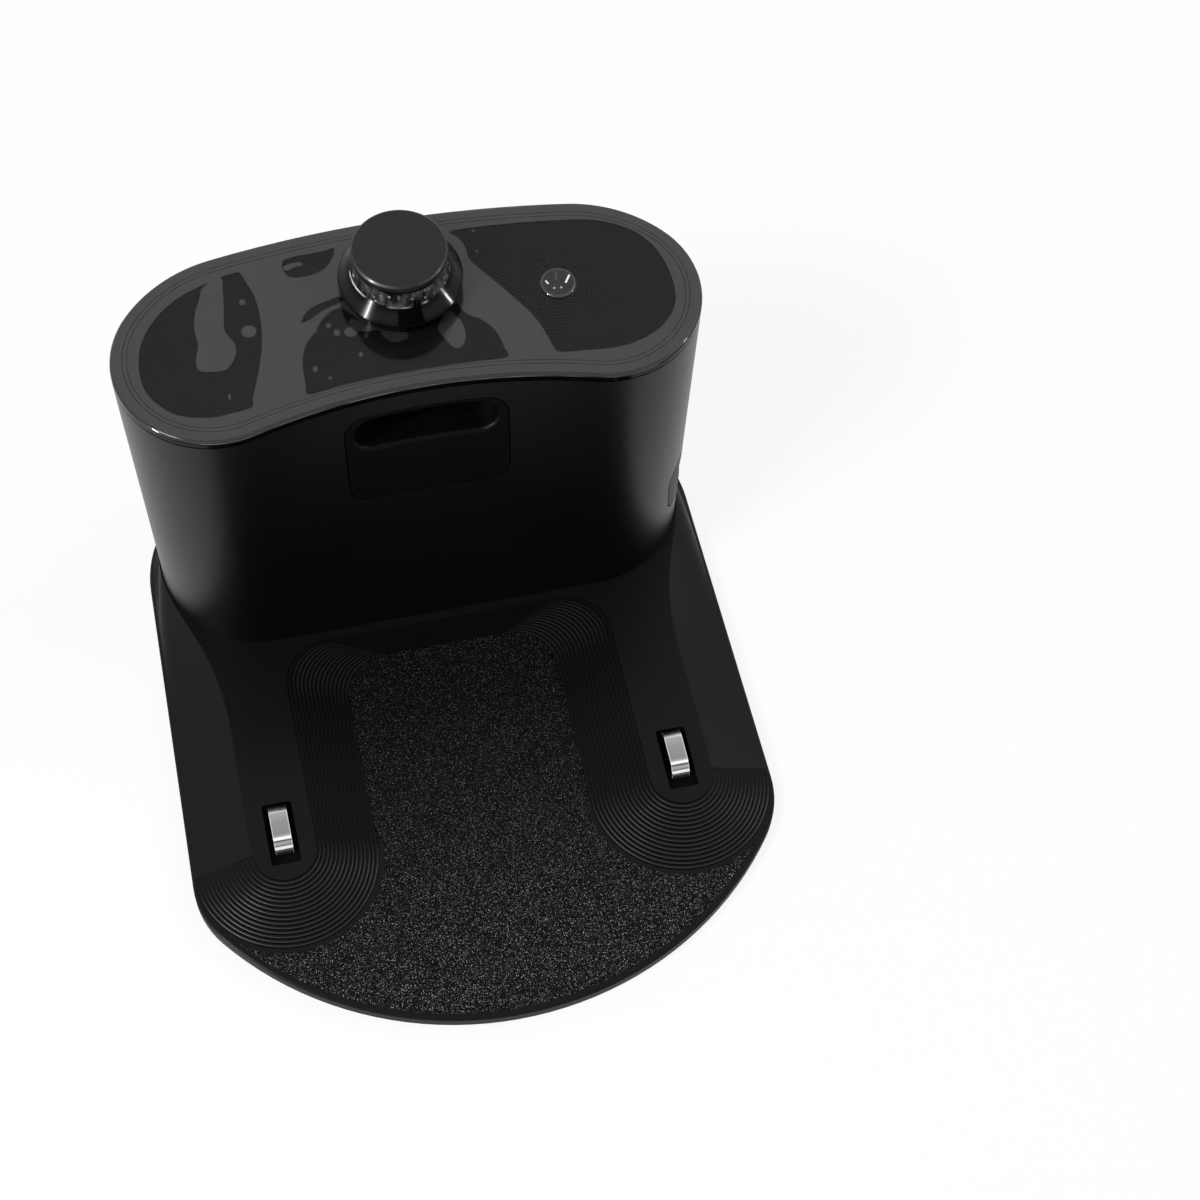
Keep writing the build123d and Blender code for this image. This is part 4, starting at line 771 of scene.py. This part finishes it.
lifted_finish = Finish("film_lifted", specular_ior_level=0.5, coat_ior=1.7, coat_roughness=0.06)
wave = lifted_finish.noise(90.0, 2.0)
lifted_finish.surface("Base Color", lifted_finish.mix(wave, grey(0.028), grey(0.034)))
lifted_finish.surface("Roughness", 0.14 + 0.06 * wave)
lifted_finish.surface("Coat Weight", 0.20 + 0.1 * wave)
lifted_finish.surface("Alpha", 0.82 - 0.06 * wave)
lifted_finish.bump(wave, 0.15 * MM, 0.25)
stuck_finish = Finish("film_clinging", specular_ior_level=0.2)
cling = stuck_finish.noise(140.0, 2.0)
stuck_finish.surface("Base Color", stuck_finish.mix(cling, grey(0.010), grey(0.014)))
stuck_finish.surface("Roughness", 0.10 + 0.05 * cling)
stuck_finish.surface("Alpha", 0.22 + 0.06 * cling)

film = bpy.data.objects.new("lid_film", film_mesh)
bpy.context.scene.collection.objects.link(film)
film_mesh.materials.append(lifted_finish.material)
film_mesh.materials.append(stuck_finish.material)
sheet = film.modifiers.new("sheet", "SOLIDIFY")
sheet.thickness = film_high - film_low
sheet.offset = -1.0
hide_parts("protective_film")
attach(film, "station")

# Beacon: a dark clear lens that flares out above the lid, with a satin black cap pressed into it.
# A bright cone under the cap throws the light of the lamp below out all round.
cone_foot_z = 118.8 * MM
neck_foot_z = 123.4 * MM
neck_top_z = 129.6 * MM
neck_line = 0.35 * MM
cone_fade = (0.8 * MM, 1.6 * MM)

lens_finish = Finish("beacon_lens", specular_ior_level=0.05, coat_ior=1.6, coat_roughness=0.03)
x, y, z = lens_finish.axes()
lens_haze = lens_finish.noise(180.0, 2.0)
streaks = lens_finish.noise(520.0, 3.0, (1.0, 1.0, 0.35))
neck = lens_finish.ease(z, neck_foot_z, neck_foot_z + 0.1 * MM)
ribbed = neck * lens_finish.ease(neck_top_z - z, 0.9 * MM, 1.3 * MM)
# Painted glints on the neck's ribs, and a painted glint line along the neck's foot.
rib_glints = specks(lens_finish, 620.0, 0.16, 0.34) * ribbed
neck_foot_glint = 1 - lens_finish.ease(abs(z - neck_foot_z), 0.5 * neck_line, neck_line)
neck_foot_glint = neck_foot_glint * lens_finish.ease(lens_finish.noise(85.0, 2.0), 0.50, 0.62)
lens_black = lens_finish.mix(lens_haze, grey(0.001), grey(0.003))
lens_grey = lens_finish.mix(ribbed * lens_finish.ease(streaks, 0.36, 0.72), lens_black, grey(0.11))
lens_finish.surface("Base Color", lens_finish.mix(rib_glints + neck_foot_glint, lens_grey, grey(0.75)))
lens_finish.surface("Roughness", 0.10 + 0.10 * lens_haze)
cone = lens_finish.ease(z - cone_foot_z, *cone_fade) * lens_finish.ease(neck_foot_z - z, *cone_fade)
lens_finish.surface("Coat Weight", 0.05 + 0.12 * cone + 0.48 * neck)
dress(lens_finish, "beacon_lens")

cap_top_z = 131.6 * MM
cap_edge = 0.5 * MM
cap_near_run = 11 * MM

cap_finish = Finish("cap_moulding", specular_ior_level=0.26, coat_ior=1.5, coat_roughness=0.16)
x, y, z = cap_finish.axes()
cap_satin = cap_finish.noise(4200.0, 2.0)
broken = cap_finish.ease(z, cap_top_z - cap_edge - 0.05 * MM, cap_top_z - cap_edge)
broken = broken * cap_finish.ease(cap_top_z - z, 0.02 * MM, 0.08 * MM)
cap_finish.surface("Base Color", cap_finish.mix(cap_satin, grey(0.006), grey(0.010)))
cap_finish.surface("Roughness", 0.42 + 0.1 * cap_satin)
near_side = cap_finish.ease(beacon_at[1] * MM - y, 0.0, cap_near_run)
cap_finish.surface("Coat Weight", broken * (0.08 + 0.42 * near_side))
cap_finish.bump(cap_satin, 0.02 * MM, 0.4)
dress(cap_finish, "beacon_cap")

mirror_finish = Finish("reflector_plate", metallic=1.0)
mirror_haze = mirror_finish.noise(300.0, 2.0)
mirror_finish.surface("Base Color", mirror_finish.mix(mirror_haze, grey(0.85), grey(0.70)))
mirror_finish.surface("Roughness", 0.05 + 0.08 * mirror_haze)
dress(mirror_finish, "beacon_reflector")

# Indicator: a small clear lens, over the lamp that shows when the robot charges. The lamp is dark,
# so the lens is nearly as black as the lid. Its rim carries a painted highlight, two white strokes in it
# are painted glints, and two grey dots and a faint line are lighter marks.
lens_rim_radius = 4.55 * MM
glints_and_marks = [
    ((2.1, -0.4), (3.4, 1.6), 0.32, 1.0),
    ((-3.2, 1.0), (-2.8, 0.1), 0.26, 1.0),
    ((-1.5, -1.7), (-1.4, -1.7), 0.34, 0.45),
    ((0.4, -1.9), (0.5, -1.8), 0.34, 0.45),
    ((0.1, 3.4), (-0.3, 1.0), 0.24, 0.06),
]


def stroke(x, y, start, end, half_width):
    """1 on a short rounded line drawn with a pen of that half width, 0 elsewhere."""
    run_x, run_y = (end[0] - start[0]) * MM, (end[1] - start[1]) * MM
    from_x, from_y = x - start[0] * MM, y - start[1] * MM
    share = (from_x * run_x + from_y * run_y) * (1 / (run_x**2 + run_y**2))
    share = x.math("MINIMUM", x.math("MAXIMUM", share, 0.0), 1.0)
    off = ((from_x - share * run_x) ** 2 + (from_y - share * run_y) ** 2) ** 0.5
    return 1 - x.finish.ease(off, 0.6 * half_width * MM, 1.1 * half_width * MM)


clear_finish = Finish("clear_lens", specular_ior_level=0.1, coat_ior=1.5, coat_roughness=0.05)
x, y, z = clear_finish.axes()
clear_haze = clear_finish.noise(350.0, 2.0)
out_x, out_y = x - indicator_at[0] * MM, y - indicator_at[1] * MM
from_rim = abs((out_x**2 + out_y**2) ** 0.5 - lens_rim_radius)
# Painted highlight round the rim, then painted glints and lighter marks over the dark lens.
rim_highlight = 1 - clear_finish.ease(from_rim, 0.15 * MM, 0.55 * MM)
lens_tone = clear_finish.mix(clear_haze, grey(0.004), grey(0.014))
lens_tone = clear_finish.mix(rim_highlight, lens_tone, grey(0.045))
for start, end, half_width, brightness in glints_and_marks:
    lens_tone = clear_finish.mix(
        stroke(out_x, out_y, start, end, half_width), lens_tone, grey(brightness)
    )
clear_finish.surface("Base Color", lens_tone)
clear_finish.surface("Roughness", 0.10 + 0.10 * clear_haze)
clear_finish.surface("Coat Weight", 0.62 + 0.1 * clear_haze)
dress(clear_finish, "indicator_lens")

# Case screws: one kind of pan-headed steel screw with a cross recess, driven from below and inside.
# They hold the cover, the tower, the lid and the boards.
screw_tree, size, step = new_tree(
    "pan_screw",
    {
        "Seats": "NodeSocketObject",
        "Head radius": "NodeSocketFloat",
        "Head height": "NodeSocketFloat",
        "Shank radius": "NodeSocketFloat",
        "Shank length": "NodeSocketFloat",
        "Thread turns": "NodeSocketFloat",
    },
)


def scaled(length, factor):
    """A length of the screw times a number."""
    return step("ShaderNodeMath", {"operation": "MULTIPLY"}, {0: length, 1: factor}).outputs[0]


def lifted(shape, height):
    """A shape moved along the screw."""
    shift = step("ShaderNodeCombineXYZ", {}, {"Z": height}).outputs[0]
    return step("GeometryNodeTransform", {}, {"Geometry": shape, "Translation": shift}).outputs[0]


head_radius, head_height = size["Head radius"], size["Head height"]
shank_radius, shank_length = size["Shank radius"], size["Shank length"]
recess_length, recess_width = scaled(head_radius, 1.15), scaled(head_radius, 0.26)
core_radius, ridge = scaled(shank_radius, 0.78), scaled(shank_radius, 0.16)
head = step("GeometryNodeMeshCylinder", {}, {"Vertices": 32, "Radius": head_radius, "Depth": head_height})
cut = lifted(head.outputs["Mesh"], scaled(head_height, -0.5))
for arm_x, arm_y in ((recess_length, recess_width), (recess_width, recess_length)):
    arm_size = step("ShaderNodeCombineXYZ", {}, {"X": arm_x, "Y": arm_y, "Z": head_height})
    arm = step("GeometryNodeMeshCube", {}, {"Size": arm_size.outputs[0]})
    arm_seat = lifted(arm.outputs["Mesh"], scaled(head_height, -1.0))
    cut = step(
        "GeometryNodeMeshBoolean",
        {"operation": "DIFFERENCE", "solver": "EXACT"},
        {"Mesh 1": cut, "Mesh 2": arm_seat},
    ).outputs[0]
core = step("GeometryNodeMeshCylinder", {}, {"Vertices": 20, "Radius": core_radius, "Depth": shank_length})
core_seat = lifted(core.outputs["Mesh"], scaled(shank_length, 0.5))
thread = step(
    "GeometryNodeCurveSpiral",
    {},
    {
        "Resolution": 16,
        "Rotations": size["Thread turns"],
        "Start Radius": core_radius,
        "End Radius": core_radius,
        "Height": scaled(shank_length, 0.9),
    },
)
ridge_form = step("GeometryNodeCurvePrimitiveCircle", {}, {"Resolution": 4, "Radius": ridge})
thread_mesh = step(
    "GeometryNodeCurveToMesh",
    {},
    {"Curve": thread.outputs[0], "Profile Curve": ridge_form.outputs[0], "Fill Caps": True},
)
whole = step("GeometryNodeJoinGeometry")
for part in (cut, core_seat, lifted(thread_mesh.outputs[0], ridge)):
    screw_tree.links.new(part, whole.inputs[0])
seats_in = step("GeometryNodeObjectInfo", {"transform_space": "ORIGINAL"}, {"Object": size["Seats"]})
way = step("GeometryNodeInputNamedAttribute", {"data_type": "FLOAT_VECTOR"}, {"Name": "way"})
turned = step("FunctionNodeAlignRotationToVector", {"axis": "Z"}, {"Vector": way.outputs[0]})
spread = step(
    "GeometryNodeInstanceOnPoints",
    {},
    {
        "Points": seats_in.outputs["Geometry"],
        "Instance": whole.outputs[0],
        "Rotation": turned.outputs[0],
    },
)
close_tree(screw_tree, step, spread.outputs[0], steel_finish)

up, down, forward = (0.0, 0.0, 1.0), (0.0, 0.0, -1.0), (0.0, -1.0, 0.0)
screw_rows = [
    (4.4, up, [(50.0, 46.0), (-50.0, 46.0), (40.0, 82.0), (-40.0, 82.0), (58.0, -52.0), (-58.0, -52.0)]),
    (11.0, up, [(64.21, 38.01), (-64.21, 38.01), (61.44, 77.71), (-61.44, 77.71)]),
    (104.1, up, [(62.0, 74.0), (-62.0, 74.0)]),
    (99.4, up, [(-14.0, 64.5), (-14.0, 81.5), (48.0, 81.5)]),
    (20.6, down, [(50.0, 44.0), (-50.0, 44.0), (50.0, 74.0), (-50.0, 74.0)]),
    (97.8, forward, [(20.0, 56.6), (-20.0, 56.6)]),
]
seat_places = [(spot[0] * MM, spot[1] * MM, level * MM) for level, _, spots in screw_rows for spot in spots]
seat_ways = [direction for _, direction, spots in screw_rows for _ in spots]
seat_mesh = bpy.data.meshes.new("screw_seats")
seat_mesh.from_pydata(seat_places, [], [])
way_values = seat_mesh.attributes.new("way", "FLOAT_VECTOR", "POINT").data
for value, direction in zip(way_values, seat_ways):
    value.vector = direction
seats = bpy.data.objects.new("screw_seats", seat_mesh)
bpy.context.scene.collection.objects.link(seats)
screw_values = {
    "Seats": seats,
    "Head radius": 2.8 * MM,
    "Head height": 1.6 * MM,
    "Shank radius": 1.45 * MM,
    "Shank length": 6.0 * MM,
    "Thread turns": 6.0,
}
screws = grow(screw_tree, "pan_screws", screw_values)
bpy.data.objects.remove(seats)
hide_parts("case_screws")
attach(screws, "station")

# Floor, light and camera: a white sweep under even studio light, seen as the photograph sees it.
# The floor and the sky are white to the eye and in reflections, and the floor keeps a soft shadow.
# From below the floor is clear, so that the underside can be looked at.
floor_size = 8.0
floor_middle = (0.9, 0.3, 0.0)
floor_grey = 0.80
floor_glow = 1.07
glow_near = 0.80
glow_reach = (0.5, 1.5)
floor_mesh = bpy.data.meshes.new("floor")
floor_build = bmesh.new()
floor_form = Matrix.Translation(floor_middle)
bmesh.ops.create_grid(floor_build, x_segments=1, y_segments=1, size=floor_size / 2, matrix=floor_form)
floor_build.to_mesh(floor_mesh)
floor_build.free()
floor = bpy.data.objects.new("floor", floor_mesh)
bpy.context.scene.collection.objects.link(floor)
floor_finish = Finish("floor_white", base_color=grey(floor_grey), roughness=0.9, specular_ior_level=0.0)
seen = floor_finish.node("ShaderNodeLightPath", output="Is Camera Ray")
mirrored = seen.math("MAXIMUM", seen.out("Is Glossy Ray"), seen.out("Is Transmission Ray"))
shown = seen.math("MAXIMUM", seen, mirrored)
glow = floor_finish.node("ShaderNodeEmission", {}, {"Color": grey(1.0), "Strength": floor_glow})
above = 1 - floor_finish.node("ShaderNodeNewGeometry", output="Backfacing")
floor_finish.surface("Alpha", above)
away = floor_finish.node(
    "ShaderNodeVectorMath", {"operation": "LENGTH"}, {0: floor_finish.place}, "Value"
)
glow_share = glow_near + (1 - glow_near) * floor_finish.ease(away, *glow_reach)
lit = Term(floor_finish, floor_finish.shader, 0)
blended = floor_finish.node("ShaderNodeMixShader", {}, {0: shown * above * glow_share, 1: lit, 2: glow})
floor_finish.put(floor_finish.tree.nodes["Material Output"].inputs["Surface"], blended)
floor_mesh.materials.append(floor_finish.material)

scene = bpy.context.scene
scene.view_settings.view_transform = "Standard"
sky_light = 0.35
sky_white = 1.0
world = bpy.data.worlds.new("studio")
scene.world = world
world.use_nodes = True
sky_tree = world.node_tree
paths = sky_tree.nodes.new("ShaderNodeLightPath")
viewed = paths.outputs["Is Camera Ray"]
for ray in ("Is Glossy Ray", "Is Transmission Ray"):
    either = sky_tree.nodes.new("ShaderNodeMath")
    either.operation = "MAXIMUM"
    sky_tree.links.new(viewed, either.inputs[0])
    sky_tree.links.new(paths.outputs[ray], either.inputs[1])
    viewed = either.outputs[0]
level = sky_tree.nodes.new("ShaderNodeMapRange")
level.inputs["To Min"].default_value = sky_light
level.inputs["To Max"].default_value = sky_white
sky = sky_tree.nodes["Background"]
sky.inputs["Color"].default_value = grey(1.0)
sky_tree.links.new(viewed, level.inputs["Value"])
sky_tree.links.new(level.outputs[0], sky.inputs["Strength"])


def softbox(name, place, aim, width, depth, power, lights_all=True):
    """A rectangular lamp that hangs at place and faces aim. It may show in reflections only."""
    lamp = bpy.data.lights.new(name, "AREA")
    lamp.shape = "RECTANGLE"
    lamp.size = width
    lamp.size_y = depth
    lamp.energy = power
    box = bpy.data.objects.new(name, lamp)
    box.location = place
    box.visible_diffuse = lights_all
    box.rotation_euler = (Vector(aim) - Vector(place)).to_track_quat("-Z", "Y").to_euler()
    scene.collection.objects.link(box)


deck_aim = (0, 0, 0.05)
beacon_aim = (0, 0.074, 0.12)
softbox("key_box", (-0.85, -0.35, 1.15), deck_aim, 0.36, 0.36, 11.0)
softbox("fill_box", (0.95, 0.10, 0.9), deck_aim, 0.7, 0.7, 4.0)
softbox("left_window_high", (-0.90, -0.30, 0.53), beacon_aim, 0.09, 0.11, 10.0, lights_all=False)
softbox("left_window_low", (-0.90, -0.345, 0.40), beacon_aim, 0.06, 0.13, 8.0, lights_all=False)
softbox("right_window", (0.98, -0.21, 0.37), beacon_aim, 0.06, 0.12, 1.8, lights_all=False)

# A dark card in front, seen only in glossy reflections, stands for the dark side of the room.
card_width, card_height = 0.55, 0.26
card_place = Vector((0.068, -0.634, 0.49))
card_turn = (Vector(beacon_aim) - card_place).to_track_quat("Z", "Y").to_matrix().to_4x4()
card_size = Matrix.Diagonal((card_width, card_height, 1.0, 1.0))
card_form = Matrix.Translation(card_place) @ card_turn @ card_size
card_mesh = bpy.data.meshes.new("dark_card")
card_build = bmesh.new()
bmesh.ops.create_grid(card_build, x_segments=1, y_segments=1, size=0.5)
bmesh.ops.transform(card_build, matrix=card_form, verts=card_build.verts)
card_build.to_mesh(card_mesh)
card_build.free()
card = bpy.data.objects.new("dark_card", card_mesh)
scene.collection.objects.link(card)
card_finish = Finish("dark_card", base_color=grey(0.002), roughness=1.0, specular_ior_level=0.0)
card_mesh.materials.append(card_finish.material)
card.visible_camera = False
card.visible_diffuse = False
card.visible_shadow = False
card.visible_transmission = False

camera_place = Vector((-60.7, -333.7, 699.2)) * MM
camera_azimuth = math.radians(16.99)
camera_dip = math.radians(61.61)
camera_roll = math.radians(-4.75)
camera_lens = 78.0
camera_sensor = 36.0
sight = Vector(
    (
        math.sin(camera_azimuth) * math.cos(camera_dip),
        math.cos(camera_azimuth) * math.cos(camera_dip),
        -math.sin(camera_dip),
    )
)
level_right = Vector((math.cos(camera_azimuth), -math.sin(camera_azimuth), 0))
level_down = sight.cross(level_right)
image_right = level_right * math.cos(camera_roll) + level_down * math.sin(camera_roll)
image_down = level_down * math.cos(camera_roll) - level_right * math.sin(camera_roll)
camera = bpy.data.objects.new("camera", bpy.data.cameras.new("camera"))
camera.data.lens = camera_lens
camera.data.sensor_width = camera_sensor
camera.data.clip_start = 0.01
turn = Matrix((image_right, -image_down, -sight)).transposed()
camera.matrix_world = Matrix.Translation(camera_place) @ turn.to_4x4()
scene.collection.objects.link(camera)
scene.camera = camera
